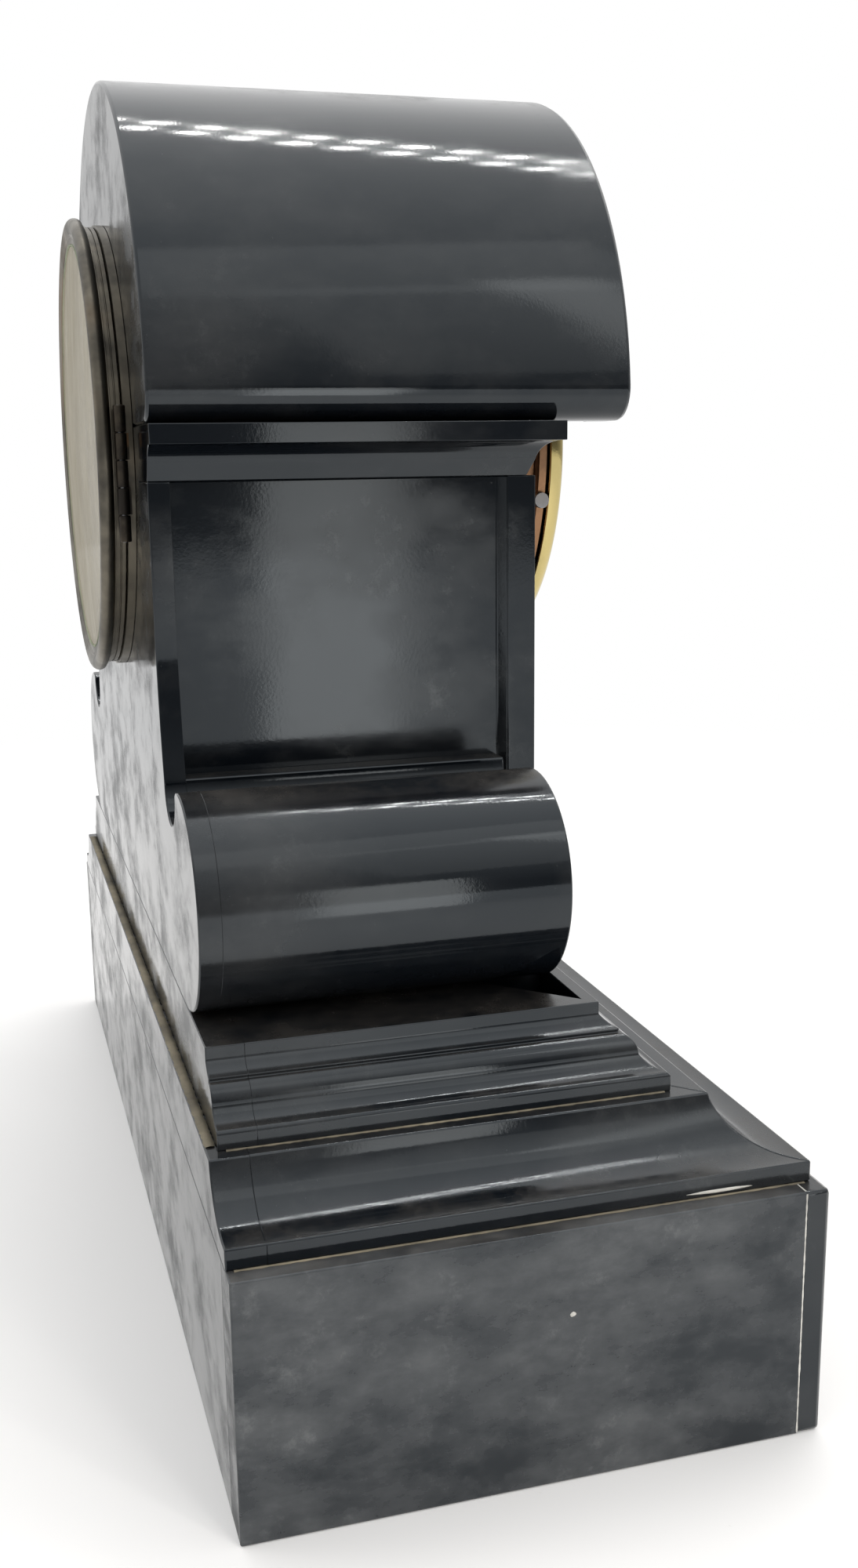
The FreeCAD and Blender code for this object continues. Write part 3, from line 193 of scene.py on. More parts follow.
def slateFinish(name, gloss, hazeStart, hazeTone, cloud, dusty, scuffs, frontTone=None):
    # polished slate: dark ground, wiped haze in soft clouds, small scuffs and pale specks, dust
    # where it faces up; with a front tone the faces to the front carry a finer, duller haze
    look = slateLook
    f = Finish(name)

    def cloudShare(scale, start):
        # haze share: product of two noises, from 0 at start to 1 a span above it
        clouds = f.noise(scale, *look["cloudNoise"])
        wiped = f.noise(scale * look["wipedScaleShare"], *look["wipedNoise"])
        amount = f.calc("MULTIPLY", (clouds, "Fac"), (wiped, "Fac"))
        return f.rise(amount, "Value", start, start + look["hazeSpan"]), "Color"

    hazeShare = cloudShare(cloud, hazeStart)
    geometry = f.add("ShaderNodeNewGeometry")
    facing = f.add("ShaderNodeSeparateXYZ")
    f.join(geometry, "Normal", facing, "Vector")
    haze = tuple(channel * hazeTone for channel in look["haze"])
    if frontTone:
        forward = f.calc("MULTIPLY", (facing, "Y"), -1.0)
        front = f.rise(forward, "Value", *look["frontEdge"])
        frontHaze = tuple(channel * frontTone for channel in look["haze"])
        haze = (f.blendColor((front, "Color"), haze, frontHaze), "Result")
        frontShare = cloudShare(look["frontCloud"], look["frontStart"])
        hazeShare = (f.blendColor((front, "Color"), hazeShare, frontShare), "Result")
    base = f.blendColor(hazeShare, look["stone"], haze)
    scuffPatch = f.rise(f.noise(*look["scuffNoise"]), "Fac", *look["scuffEdge"])
    scuffAmount = f.calc("MULTIPLY", (scuffPatch, "Color"), hazeShare)
    scuffAmount = f.calc("MULTIPLY", (scuffAmount, "Value"), scuffs)
    base = f.blendColor((scuffAmount, "Value"), (base, "Result"), look["scuff"])
    grain = f.noise(*look["grainNoise"])
    specks = f.rise(grain, "Fac", *look["speckEdge"])
    speckAmount = f.calc("MULTIPLY", (specks, "Color"), look["speckShare"])
    base = f.blendColor((speckAmount, "Value"), (base, "Result"), look["speck"])
    upward = f.rise(facing, "Z", *look["upwardEdge"])
    dustPatch = f.rise(f.noise(*look["dustNoise"]), "Fac", *look["dustEdge"])
    dust = f.calc("MULTIPLY", (upward, "Color"), (dustPatch, "Color"))
    dust = f.calc("MULTIPLY", (dust, "Value"), dusty)
    base = f.blendColor((dust, "Value"), (base, "Result"), look["dust"])
    f.join(base, "Result", f.shader, "Base Color")
    rough = f.calc("MULTIPLY", hazeShare, gloss[1] - gloss[0])
    rough = f.calc("ADD", (rough, "Value"), gloss[0])
    if frontTone:
        dull = f.calc("MULTIPLY", hazeShare, (front, "Color"))
        dull = f.calc("MULTIPLY", (dull, "Value"), look["frontDull"])
        rough = f.calc("ADD", (rough, "Value"), (dull, "Value"))
    dustRough = f.calc("MULTIPLY", (dust, "Value"), look["dustDull"])
    rough = f.calc("ADD", (rough, "Value"), (dustRough, "Value"))
    f.join(rough, "Value", f.shader, "Roughness")
    swell = f.bump(f.noise(*look["swellNoise"]), "Fac", *look["swellBump"])
    fine = f.bump(grain, "Fac", *look["grainBump"], swell)
    f.join(fine, "Normal", f.shader, "Normal")
    f.put(IOR=look["ior"], Specular_Tint=look["tint"])
    return f.mat


metalLook = {
    "stainNoise": (5.0, 0.65),  # detail, roughness
    "stainEdge": (0.38, 0.62),
    "wornNoise": (3.0, 0.6, (1, 1, 1), (0.7, 0.3, 0.9)),  # and stretch, turn
    "wornEdge": (0.52, 0.66),
    "wornScaleShare": 0.6,
    "brushNoise": (700.0, 3.0, 0.6),
    "brushBump": (0.25, 0.00008),
}


def metalFinish(name, bright, dark, worn, roughLow, roughHigh, stainScale=24.0, brush=(1, 1, 1)):
    # metal: bright ground, dark stains in clouds, and patches of a worn tone
    look = metalLook
    f = Finish(name)
    stains = f.noise(stainScale, *look["stainNoise"])
    stainRamp = f.rise(stains, "Fac", *look["stainEdge"])
    color = f.blendColor((stainRamp, "Color"), dark, bright)
    patches = f.noise(stainScale * look["wornScaleShare"], *look["wornNoise"])
    patchRamp = f.rise(patches, "Fac", *look["wornEdge"])
    color = f.blendColor((patchRamp, "Color"), (color, "Result"), worn)
    f.join(color, "Result", f.shader, "Base Color")
    roughRamp = f.ramp(stainRamp, "Color", [(0.0, roughHigh), (1.0, roughLow)])
    f.join(roughRamp, "Color", f.shader, "Roughness")
    fine = f.noise(*look["brushNoise"], brush)
    f.join(f.bump(fine, "Fac", *look["brushBump"]), "Normal", f.shader, "Normal")
    f.put(Metallic=1.0)
    return f.mat


enamelLook = {
    "tones": [(0.3, (0.42, 0.35, 0.25, 1)), (0.7, (0.60, 0.53, 0.41, 1))],
    "cloudNoise": (12.0, 5.0, 0.6),
    "cloudBump": (0.15, 0.0002),
    "crackleScale": 160.0,
    "crackleLine": [(0.0, 1.0), (0.02, 0.0)],
    "crackleShare": 0.16,
    "crackleTone": (0.22, 0.16, 0.10),
    "roughness": 0.32,
}


def enamelFinish():
    # yellowed enamel in soft clouds, with fine brown crackle along the borders of cells
    look = enamelLook
    f = Finish("agedEnamel")
    clouds = f.noise(*look["cloudNoise"])
    tone = f.ramp(clouds, "Fac", look["tones"])
    crackle = f.add("ShaderNodeTexVoronoi", feature="DISTANCE_TO_EDGE")
    crackle.inputs["Scale"].default_value = look["crackleScale"]
    f.join(f.mapped(), "Vector", crackle, "Vector")
    edge = f.ramp(crackle, "Distance", look["crackleLine"])
    faint = f.calc("MULTIPLY", (edge, "Color"), look["crackleShare"])
    color = f.blendColor((faint, "Value"), (tone, "Color"), look["crackleTone"])
    f.join(color, "Result", f.shader, "Base Color")
    f.join(f.bump(clouds, "Fac", *look["cloudBump"]), "Normal", f.shader, "Normal")
    f.put(Roughness=look["roughness"])
    return f.mat


glassLook = {
    "pane": (0.96, 0.98, 0.97, 1),
    "ior": 1.48,
    "filmRough": 0.45,
    "smearNoise": (42.0, 7.0, 0.68, (1.6, 1.0, 0.55)),
    "smearRough": [(0.35, 0.02), (0.75, 0.12)],
    "film": [(0.40, 0.80), (0.58, 1.0)],
    "filmTones": [(0.42, (0.17, 0.145, 0.10, 1)), (0.60, (0.44, 0.40, 0.31, 1))],
    "greaseTones": ((0.17, 0.145, 0.10), (0.34, 0.31, 0.24)),
    "streakNoise": (70.0, 6.0, 0.7, (1.4, 1.0, 0.4), (0.0, 0.25, 0.0)),
    "streakShare": [(0.38, 0.03), (0.64, 0.17)],
    "flatShare": [(0.70, 0.0), (0.93, 0.74)],
}


def glassFinish():
    # clear pane with a film of old dust, which shows most where it is seen along its face
    look = glassLook
    f = Finish("clearGlass")
    smears = f.noise(*look["smearNoise"])
    f.join(f.ramp(smears, "Fac", look["smearRough"]), "Color", f.shader, "Roughness")
    film = f.ramp(smears, "Fac", look["film"])
    f.join(film, "Color", f.shader, "Sheen Weight")
    f.join(f.ramp(smears, "Fac", look["filmTones"]), "Color", f.shader, "Sheen Tint")
    f.put(Base_Color=look["pane"], Transmission_Weight=1.0, IOR=look["ior"])
    f.put(Sheen_Roughness=look["filmRough"])
    # grease in streaks from any side, and more of it along a flat line of sight
    grease = f.add("ShaderNodeBsdfDiffuse")
    greaseTone = f.blendColor((film, "Color"), *look["greaseTones"])
    f.join(greaseTone, "Result", grease, "Color")
    streaks = f.ramp(f.noise(*look["streakNoise"]), "Fac", look["streakShare"])
    sight = f.add("ShaderNodeLayerWeight")
    sight.inputs["Blend"].default_value = 0.5
    flat = f.ramp(sight, "Facing", look["flatShare"])
    cover = f.calc("ADD", (streaks, "Color"), (flat, "Color"))
    pane = f.blendShader((cover, "Value"), (f.shader, "BSDF"), (grease, "BSDF"))
    # light passes straight through for shadows, so that the dial behind isn't black
    path = f.add("ShaderNodeLightPath")
    clear = f.add("ShaderNodeBsdfTransparent")
    whole = f.blendShader((path, "Is Shadow Ray"), (pane, "Shader"), (clear, "BSDF"))
    f.join(whole, "Shader", f.out, "Surface")
    return f.mat


plainLook = {"noise": (60.0, 4.0, 0.6), "edge": (0.3, 0.7), "roughShares": (0.8, 1.25)}


def plainFinish(name, color, rough, mottle=0.25):
    # one tone with a slight mottle, in colour and in gloss
    f = Finish(name)
    tone = f.noise(*plainLook["noise"])
    start, end = plainLook["edge"]
    low = tuple(c * (1 - mottle) for c in color) + (1,)
    high = tuple(min(1.0, c * (1 + mottle)) for c in color) + (1,)
    f.join(f.ramp(tone, "Fac", [(start, low), (end, high)]), "Color", f.shader, "Base Color")
    smooth, dull = (min(1.0, rough * share) for share in plainLook["roughShares"])
    f.join(f.ramp(tone, "Fac", [(start, smooth), (end, dull)]), "Color", f.shader, "Roughness")
    return f.mat


# slate: gloss range, haze start and tone, cloud scale, dust, scuffs, tone of the front's haze
# metal: bright, dark and worn tone, roughness range, scale of the stains, stretch of the brushing
finishes = {
    "slate": slateFinish("polishedSlate", (0.07, 0.19), 0.21, 0.9, 11.0, 0.45, 0.12),
    "slatePanel": slateFinish("satinSlate", (0.08, 0.24), 0.20, 0.6, 15.0, 0.45, 0.25),
    "slateFace": slateFinish("dustySlate", (0.07, 0.19), 0.21, 0.9, 11.0, 0.45, 0.12, 0.8),
    "slateEnd": slateFinish("scuffedSlate", (0.18, 0.44), 0.15, 2.8, 24.0, 0.7, 0.5, 0.8),
    "aged_brass": metalFinish(
        "agedBrass", (0.200, 0.180, 0.142), (0.066, 0.062, 0.054), (0.210, 0.160, 0.110),
        0.28, 0.50),
    "bright_brass": metalFinish(
        "polishedBrass", (0.56, 0.46, 0.20), (0.34, 0.27, 0.11), (0.60, 0.47, 0.22),
        0.10, 0.22, 14.0),
    "coppery_brass": metalFinish(
        "copperyBrass", (0.26, 0.145, 0.08), (0.09, 0.055, 0.035), (0.34, 0.19, 0.10),
        0.22, 0.42, 30.0),
    "worn_brass": metalFinish(
        "wornBrass", (0.12, 0.10, 0.075), (0.036, 0.032, 0.028), (0.50, 0.25, 0.09),
        0.26, 0.5, 60.0),
    "movement_brass": metalFinish(
        "brushedBrass", (0.72, 0.54, 0.25), (0.52, 0.37, 0.15), (0.74, 0.55, 0.27),
        0.22, 0.38, 18.0, (1, 40, 1)),
    "steel": metalFinish(
        "filedSteel", (0.30, 0.30, 0.31), (0.15, 0.15, 0.155), (0.22, 0.20, 0.18),
        0.22, 0.42, 40.0),
    "blued_steel": metalFinish(
        "bluedSteel", (0.02, 0.03, 0.09), (0.012, 0.012, 0.02), (0.025, 0.02, 0.05),
        0.16, 0.3, 50.0),
    "glass": glassFinish(),
    "enamel": enamelFinish(),
    "ink": plainFinish("blackInk", (0.012, 0.011, 0.010), 0.4),
    "filler": plainFinish("paleFiller", (0.58, 0.57, 0.53), 0.8, 0.35),
    "grime": plainFinish("ledgeGrime", (0.20, 0.175, 0.125), 0.9, 0.6),
    "verdigris": plainFinish("verdigrisCrust", (0.27, 0.30, 0.20), 0.85, 0.5),
}
print("finishes made:", len(finishes))

# surfaces
merge = 1e-6  # metres within which points are one
crease = {"ring": 32, "pin": 25}  # degrees past which an edge stays crisp
steps = {"ring": 256, "pane": 192, "crust": 360, "line": 192, "collet": 64, "knob": 40, "dome": 26}


def meshObject(name, points, faces, material, body, smooth=True):
    # a mesh from points in metres, with one finish, that rides with its body
    mesh = bpy.data.meshes.new(name)
    mesh.from_pydata(np.asarray(points, dtype=float).reshape(-1, 3).tolist(), [], faces)
    obj = bpy.data.objects.new(name, mesh)
    bpy.context.collection.objects.link(obj)
    mesh.materials.append(finishes[material])
    mesh.polygons.foreach_set("use_smooth", [smooth] * len(mesh.polygons))
    mesh.update()
    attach(obj, body)
    return obj


def gridFaces(rows, cols, closeRows, closeCols):
    # quads of a rows by cols grid of points, closed round either way if asked
    r = np.arange(rows if closeRows else rows - 1)
    c = np.arange(cols if closeCols else cols - 1)
    rr, cc = np.meshgrid(r, c, indexing="ij")
    r2 = (rr + 1) % rows
    c2 = (cc + 1) % cols
    quads = np.stack([rr * cols + cc, rr * cols + c2, r2 * cols + c2, r2 * cols + cc], -1)
    return quads.reshape(-1, 4).tolist()


def sharpen(obj, degrees):
    # edges whose faces turn by more than the angle stay crisp
    work = bmesh.new()
    work.from_mesh(obj.data)
    limit = math.radians(degrees)
    for edge in work.edges:
        edge.smooth = len(edge.link_faces) == 2 and edge.calc_face_angle(0.0) < limit
    for face in work.faces:
        face.smooth = True
    work.to_mesh(obj.data)
    work.free()


def recalculate(obj):
    # points that meet become one, and the faces point outwards
    work = bmesh.new()
    work.from_mesh(obj.data)
    bmesh.ops.remove_doubles(work, verts=work.verts, dist=merge)
    bmesh.ops.recalc_face_normals(work, faces=work.faces)
    work.to_mesh(obj.data)
    work.free()


def turnedRing(name, section, axis, material, body, kind="ring", wobble=None):
    # a closed section of (radius, depth) points carried round an axis along Y: x = axisX + r cos a,
    # z = axisZ + r sin a, y = depth
    section = np.asarray(section, float)
    count = steps[kind]
    angle = np.linspace(0, 2 * np.pi, count, endpoint=False)
    r = section[:, 0][None, :] * np.ones((count, 1))
    y = section[:, 1][None, :] * np.ones((count, 1))
    if wobble is not None:
        r = r + wobble(angle)[:, None]
    x = axis[0] + r * np.cos(angle)[:, None]
    z = axis[1] + r * np.sin(angle)[:, None]
    points = np.stack([x, y, z], -1) * mm
    faces = gridFaces(count, len(section), True, True)
    obj = meshObject(name, points, faces, material, body)
    recalculate(obj)
    sharpen(obj, crease["ring"])
    return obj


def arc(cx, cy, radius, start, end, count):
    # points of a circle: center + radius (cos a, sin a), with a from start to end in degrees
    a = np.radians(np.linspace(start, end, count))
    return np.stack([cx + radius * np.cos(a), cy + radius * np.sin(a)], -1).tolist()


def post(name, base, top, radius, chamfer, count, material, body):
    # a chamfered pin from base to top: a stepped radius carried along a straight axis, point = base
    # + t axis + r(t) (u cos a + v sin a)
    base = np.asarray(base, float)
    top = np.asarray(top, float)
    length = np.linalg.norm(top - base)
    axis = (top - base) / length
    aside = (0.31, 0.52, 0.79)  # any direction but the axis
    side = np.cross(axis, aside)
    side /= np.linalg.norm(side)
    other = np.cross(axis, side)
    t = np.array([0, 0, chamfer, length - chamfer, length, length])
    r = np.array([0.0, radius - chamfer, radius, radius, radius - chamfer, 0.0])
    a = np.linspace(0, 2 * np.pi, count, endpoint=False)
    ring = np.cos(a)[:, None] * side + np.sin(a)[:, None] * other
    points = base + t[None, :, None] * axis + r[None, :, None] * ring[:, None, :]
    obj = meshObject(name, points * mm, gridFaces(count, len(t), True, False), material, body)
    recalculate(obj)
    sharpen(obj, crease["pin"])
    return obj


def joinPieces(name, objs):
    # several meshes of one body and finish become one object
    work = bmesh.new()
    for obj in objs:
        work.from_mesh(obj.data)
    mesh = bpy.data.meshes.new(name)
    work.to_mesh(mesh)
    work.free()
    mesh.materials.append(objs[0].data.materials[0])
    whole = bpy.data.objects.new(name, mesh)
    bpy.context.collection.objects.link(whole)
    for obj in objs:
        bpy.data.objects.remove(obj)
    return whole


# slate case
# width of the softened edges in mm
slateEdges = {
    "default": 0.45,
    "drum_front": 0.9,
    "drum_back": 1.3,
    "drum_shell": 0.05,
    "scroll_left": 0.5,
    "scroll_right": 0.5,
    "plinth_back": 1.2,
    "capital_left": 0.7,
    "capital_right": 0.7,
}
slateKinds = {
    "slateEnd": ("plinth_end_right", "plinth_end_left"),
    "slatePanel": ("neck_side_right", "neck_side_left", "rear_wall", "torus_deck"),
    "slateFace": (
        "neck_front", "drum_front", "scroll_face_left", "scroll_face_right", "plinth_front",
        "cavetto_front", "torus_front"),
}
softening = {
    "merge": 2e-6,
    "flat": 0.6,  # degrees
    "slateCorner": 28,
    "slateCrisp": 24,
    "metalCorner": 35,
    "metalCrisp": 28,
    "segments": 2,
    "weight": 60,
    "jointReach": 0.02,
}

# faces on which slabs are cemented together: node, axis, low or high end, share of the softening
jointFaces = [
    ("drum_front", 1, 1, 0.0), ("drum_back", 1, 0, 0.0), ("scroll_face_left", 1, 1, 0.22),
    ("torus_front", 1, 1, 0.35), ("cavetto_front", 1, 1, 0.35), ("plinth_back", 1, 0, 0.3),
    ("plinth_front", 0, 0, 0.5), ("plinth_front", 0, 1, 0.5),
    ("neck_front", 0, 0, 0.3), ("neck_front", 0, 1, 0.3),
]
jointPlanes = [(axis, boxOf(node)[end][axis], share) for node, axis, end, share in jointFaces]


def edgeShare(edge, limit):
    # how much an edge is softened: none if nearly flat, little where two slabs meet
    if len(edge.link_faces) != 2 or edge.calc_face_angle(0.0) < limit:
        return 0.0
    a, b = (v.co / mm for v in edge.verts)
    share = 1.0
    for axis, place, kept in jointPlanes:
        if max(abs(a[axis] - place), abs(b[axis] - place)) < softening["jointReach"]:
            share = min(share, kept)
    return share


def mergedCopy(node, name, material, body, width, corner, crisp):
    # a CAD node's loose triangles, merged and cleared of flat seams, with softened edges
    source = nodes[node]
    work = bmesh.new()
    work.from_mesh(source.data)
    work.transform(source.matrix_world)
    bmesh.ops.remove_doubles(work, verts=work.verts, dist=softening["merge"])
    flat = math.radians(softening["flat"])
    bmesh.ops.dissolve_limit(work, angle_limit=flat, verts=work.verts, edges=work.edges)
    share = work.edges.layers.float.new("bevel_weight_edge")
    for e in work.edges:
        e.smooth = len(e.link_faces) == 2 and e.calc_face_angle(0.0) < math.radians(crisp)
        e[share] = edgeShare(e, math.radians(corner))
    for face in work.faces:
        face.smooth = True
    mesh = bpy.data.meshes.new(name)
    work.to_mesh(mesh)
    work.free()
    mesh.materials.clear()
    mesh.materials.append(finishes[material])
    obj = bpy.data.objects.new(name, mesh)
    bpy.context.collection.objects.link(obj)
    bevel = obj.modifiers.new("edge", "BEVEL")
    bevel.width = width * mm
    bevel.segments = softening["segments"]
    bevel.limit_method = "WEIGHT"
    weighted = obj.modifiers.new("shade", "WEIGHTED_NORMAL")
    weighted.keep_sharp = True
    weighted.weight = softening["weight"]
    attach(obj, body)
    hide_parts(node)
    return obj


for node in slateNodes:
    material = next((kind for kind, listed in slateKinds.items() if node in listed), "slate")
    width = slateEdges.get(node, slateEdges["default"])
    piece = mergedCopy(
        node, "slate_" + node, material, "case", width,
        softening["slateCorner"], softening["slateCrisp"])
print("slate slabs dressed:", len(slateNodes))

# front bezel, its door hinge and the fixed ring
# outlines are (radius, distance behind the bezel's front) in mm
bezel = {
    "bead": 2.2,
    "beadMiddle": 68.1,
    "lip": [(62.6, 1.6), (62.6, 1.25), (63.4, 0.95), (64.3, 1.05)],
    "hollow": (65.2, 1.1, 0.55),
    "hollowArc": (200, 330, 6),  # degrees from and to, points
    "beadArc": (268, 400, 22),
    "band": [
        (68.6, 4.1), (68.35, 4.35), (68.35, 4.65), (67.8, 4.8), (67.8, 5.75), (67.45, 5.9),
        (67.45, 6.15), (67.8, 6.3), (67.8, 7.35), (67.65, 7.5), (64.15, 7.5), (64.15, 1.6),
    ],
    "fixedRing": [
        (59.5, 7.8), (67.9, 7.8), (68.4, 8.05), (68.4, 10.35), (68.2, 10.5), (60.6, 10.5),
        (60.6, 24.1), (58.4, 24.1), (58.4, 11.7), (55.2, 11.7), (55.2, 10.7), (59.5, 10.7),
    ],
    "doorLeaf": (6.05, 7.2),
    "fixedLeaf": (7.8, 8.95),
    "leafReach": -4.6,
}
dialLow, dialHigh = boxOf("dial")
dialAxis = tuple(round((dialLow[i] + dialHigh[i]) / 2, 3) for i in (0, 2))
bezelFront = boxOf("bezel_ring")[0][1]


def behind(pairs, front):
    # (radius, distance behind a front) made (radius, depth)
    return [(r, front + distance) for r, distance in pairs]


def bezelSection():
    # lip, hollow, bead, a fine step, the band and the back of the door ring
    r, distance, hollow = bezel["hollow"]
    section = behind(bezel["lip"], bezelFront)
    section += arc(r, bezelFront + distance, hollow, *bezel["hollowArc"])
    beadY = bezelFront + bezel["bead"]
    section += arc(bezel["beadMiddle"], beadY, bezel["bead"], *bezel["beadArc"])
    return section + behind(bezel["band"], bezelFront)


ringPiece = turnedRing("bezelRing", bezelSection(), dialAxis, "aged_brass", "front_door")
dialRing = turnedRing(
    "dialRing", behind(bezel["fixedRing"], bezelFront), dialAxis, "aged_brass", "case")

hinge = {"radius": 1.7, "gap": 0.15, "chamfer": 0.18, "steps": 32, "knuckles": 5}


def hingeLine(node):
    # middle of a hinge pin, and the heights of its two ends
    (x0, y0, z0), (x1, y1, z1) = boxOf(node)
    return round((x0 + x1) / 2, 3), round((y0 + y1) / 2, 3), z0, z1


def hingeKnuckles(name, pin, first, front, leaf, reach, material, body):
    # every second knuckle on a pin, each with a leaf: low end = foot of the pin + index pitch + gap,
    # leaf from the pin's middle as far as it reaches, between two depths behind the front
    x, y, z0, z1 = hingeLine(pin)
    pitch = (z1 - z0) / hinge["knuckles"]
    parts = []
    for index in range(first, hinge["knuckles"], 2):
        low = z0 + pitch * index + hinge["gap"]
        high = low + pitch - 2 * hinge["gap"]
        parts.append(post(
            name + "Barrel" + str(index), (x, y, low), (x, y, high), hinge["radius"],
            hinge["chamfer"], hinge["steps"], material, body))
        xs = sorted((x, x + reach))
        ys = [front + distance for distance in leaf]
        corner = np.array([[i, j, k] for i in xs for j in ys for k in (low, high)], float)
        faces = [(0, 1, 3, 2), (4, 6, 7, 5), (0, 4, 5, 1), (2, 3, 7, 6), (0, 2, 6, 4), (1, 5, 7, 3)]
        parts.append(meshObject(
            name + "Leaf" + str(index), corner * mm, faces, material, body, False))
    whole = joinPieces(name, parts)
    recalculate(whole)
    sharpen(whole, crease["pin"])
    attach(whole, body)
    return whole


doorKnuckles = hingeKnuckles(
    "bezelKnuckles", "bezel_hinge_pin", 0, bezelFront, bezel["doorLeaf"], bezel["leafReach"],
    "worn_brass", "front_door")
fixedKnuckles = hingeKnuckles(
    "dialRingKnuckles", "bezel_hinge_pin", 1, bezelFront, bezel["fixedLeaf"], bezel["leafReach"],
    "worn_brass", "case")
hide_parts("bezel_ring")
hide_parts("dial_ring")

# convex glass, with a crust of verdigris where it meets the bezel
pane = {
    "edge": 61.6,
    "rim": 64.0,
    "seat": 61.7,
    "thick": 2.0,
    "bevel": 1.0,
    "dome": 2.0,
    "crust": [(62.0, 0.3), (62.3, -0.1), (62.7, -0.15), (62.95, 0.2)],
    "crustWave": 0.05,
    "phaseSpan": 6.28,
}
paneFront = round(boxOf("bezel_glass")[0][1] + pane["dome"], 3)
paneBack = paneFront + pane["thick"]


def domed(radius, y):
    # a shallow round from the middle to the rim: depth = y - dome (1 - (r / radius) squared)
    r = np.linspace(0, radius, steps["dome"])
    return np.stack([r, y - pane["dome"] * (1 - (r / radius) ** 2)], -1).tolist()


paneSection = domed(pane["edge"], paneFront)
paneSection += [(pane["rim"], paneFront + pane["bevel"]), (pane["rim"], paneBack)]
paneSection += domed(pane["seat"], paneBack)[::-1]
glassPane = turnedRing("bezelGlass", paneSection, dialAxis, "glass", "front_door", "pane")
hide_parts("bezel_glass")
phases = np.random.default_rng(3).random(7) * pane["phaseSpan"]


def crustWobble(angle):
    # sum of sines that close round the circle: wobble = wave sum of sin(k a + phase), with k from 5
    # on in steps of 6
    waves = [pane["crustWave"] * np.sin((5 + 6 * i) * angle + p) for i, p in enumerate(phases)]
    return np.sum(waves, axis=0)


crust = turnedRing(
    "bezelCrust", behind(pane["crust"], paneFront), dialAxis, "verdigris", "front_door",
    "crust", crustWobble)
print("bezel made")

# dial face
dialFace = {
    "inkDepth": 0.05,
    "inkRoot": 0.02,
    "chapterOuter": 53.5,
    "chapterInner": 41.5,
    "margin": 0.7,
    "track": (54.6, 57.0),
    "markHalves": (0.55, 0.16),  # half widths of the five-minute marks and of the others
    "lines": [(54.6, 0.12), (57.0, 0.12), (41.2, 0.12), (53.9, 0.1)],  # radius, half width
    "winding": (22.5, 247.0),
    "collet": [
        (4.0, 1.4), (4.0, -0.15), (4.25, -0.35), (5.3, -0.35), (5.6, -0.1), (5.6, 0.02),
        (4.05, 0.02),
    ],
}
# strokes of each letter: left and right of its middle at the foot, and how far its head leans
letterWidths = {"I": 2.1, "V": 5.2, "X": 5.4}
letterStrokes = {
    "I": [(-0.55, 0.55, 0.0)],
    "V": [(-0.35, 0.75, -1.75), (-0.15, 0.25, 1.75)],
    "X": [(1.2, 2.3, -3.5), (-1.9, -1.5, 3.5)],
}
serif = {"height": 0.35, "inset": 0.25}
romanNumerals = ("I", "II", "III", "IIII", "V", "VI", "VII", "VIII", "IX", "X", "XI", "XII")
dialSurface = dialLow[1]
inkPoints, inkFaces = [], []


def onDial(degrees, pairs):
    # (across, out) pairs turned to a place on the dial; out runs from its center
    a = math.radians(degrees)
    outX, outZ = math.sin(a), math.cos(a)
    crossX, crossZ = math.cos(a), -math.sin(a)
    cx, cz = dialAxis
    return [(cx + s * crossX + r * outX, cz + s * crossZ + r * outZ) for s, r in pairs]


def bar(x0, x1, r0, r1, lean=0.0):
    # a four-cornered stroke from r0 to r1, its head moved sideways by lean
    return [(x0, r0), (x1, r0), (x1 + lean, r1), (x0 + lean, r1)]


def numeral(hour):
    # strokes of a plain Roman numeral between the chapter circles, across is +x
    r0 = dialFace["chapterInner"] + dialFace["margin"]
    r1 = dialFace["chapterOuter"] - dialFace["margin"]
    letters = romanNumerals[hour - 1]
    strokes = []
    x = -sum(letterWidths[c] for c in letters) / 2
    for c in letters:
        w = letterWidths[c]
        m = x + w / 2
        for left, right, lean in letterStrokes[c]:
            strokes.append(bar(m + left, m + right, r0, r1, lean))
        for foot in (r0, r1 - serif["height"]):
            end = x + w - serif["inset"]
            strokes.append(bar(x + serif["inset"], end, foot, foot + serif["height"]))
        x += w
    return strokes


def addInk(pairs):
    # a flat polygon of dial x and z: front face, back face and the sides between them
    p = np.asarray(pairs, float)
    count = len(p)
    front = np.stack([p[:, 0], np.full(count, dialSurface - dialFace["inkDepth"]), p[:, 1]], -1)
    back = np.stack([p[:, 0], np.full(count, dialSurface + dialFace["inkRoot"]), p[:, 1]], -1)
    faces = [tuple(range(count)), tuple(range(2 * count - 1, count - 1, -1))]
    for i in range(count):
        j = (i + 1) % count
        faces.append((i, i + count, j + count, j))
    start = sum(len(points) for points in inkPoints)
    inkPoints.append(np.concatenate([front, back]))
    inkFaces.extend([tuple(i + start for i in face) for face in faces])


for hour in range(1, 13):
    for stroke in numeral(hour):
        addInk(onDial(hour * 30, stroke))
for minute in range(60):
    half = dialFace["markHalves"][0 if minute % 5 == 0 else 1]
    addInk(onDial(minute * 6, bar(-half, half, *dialFace["track"])))
ink = meshObject("dialNumerals", np.concatenate(inkPoints) * mm, inkFaces, "ink", "case", False)
recalculate(ink)
for index, (r, w) in enumerate(dialFace["lines"]):
    y0, y1 = dialSurface - dialFace["inkDepth"], dialSurface + dialFace["inkRoot"]
    lineSection = [(r - w, y0), (r + w, y0), (r + w, y1), (r - w, y1)]
    line = turnedRing("dialLine" + str(index), lineSection, dialAxis, "ink", "case", "line")
for side, name in ((-1, "strike"), (1, "going")):
    place = (side * dialFace["winding"][0], dialFace["winding"][1])
    collet = turnedRing(
        name + "Collet", behind(dialFace["collet"], dialSurface), place, "aged_brass", "case",
        "collet")
print("dial drawn")

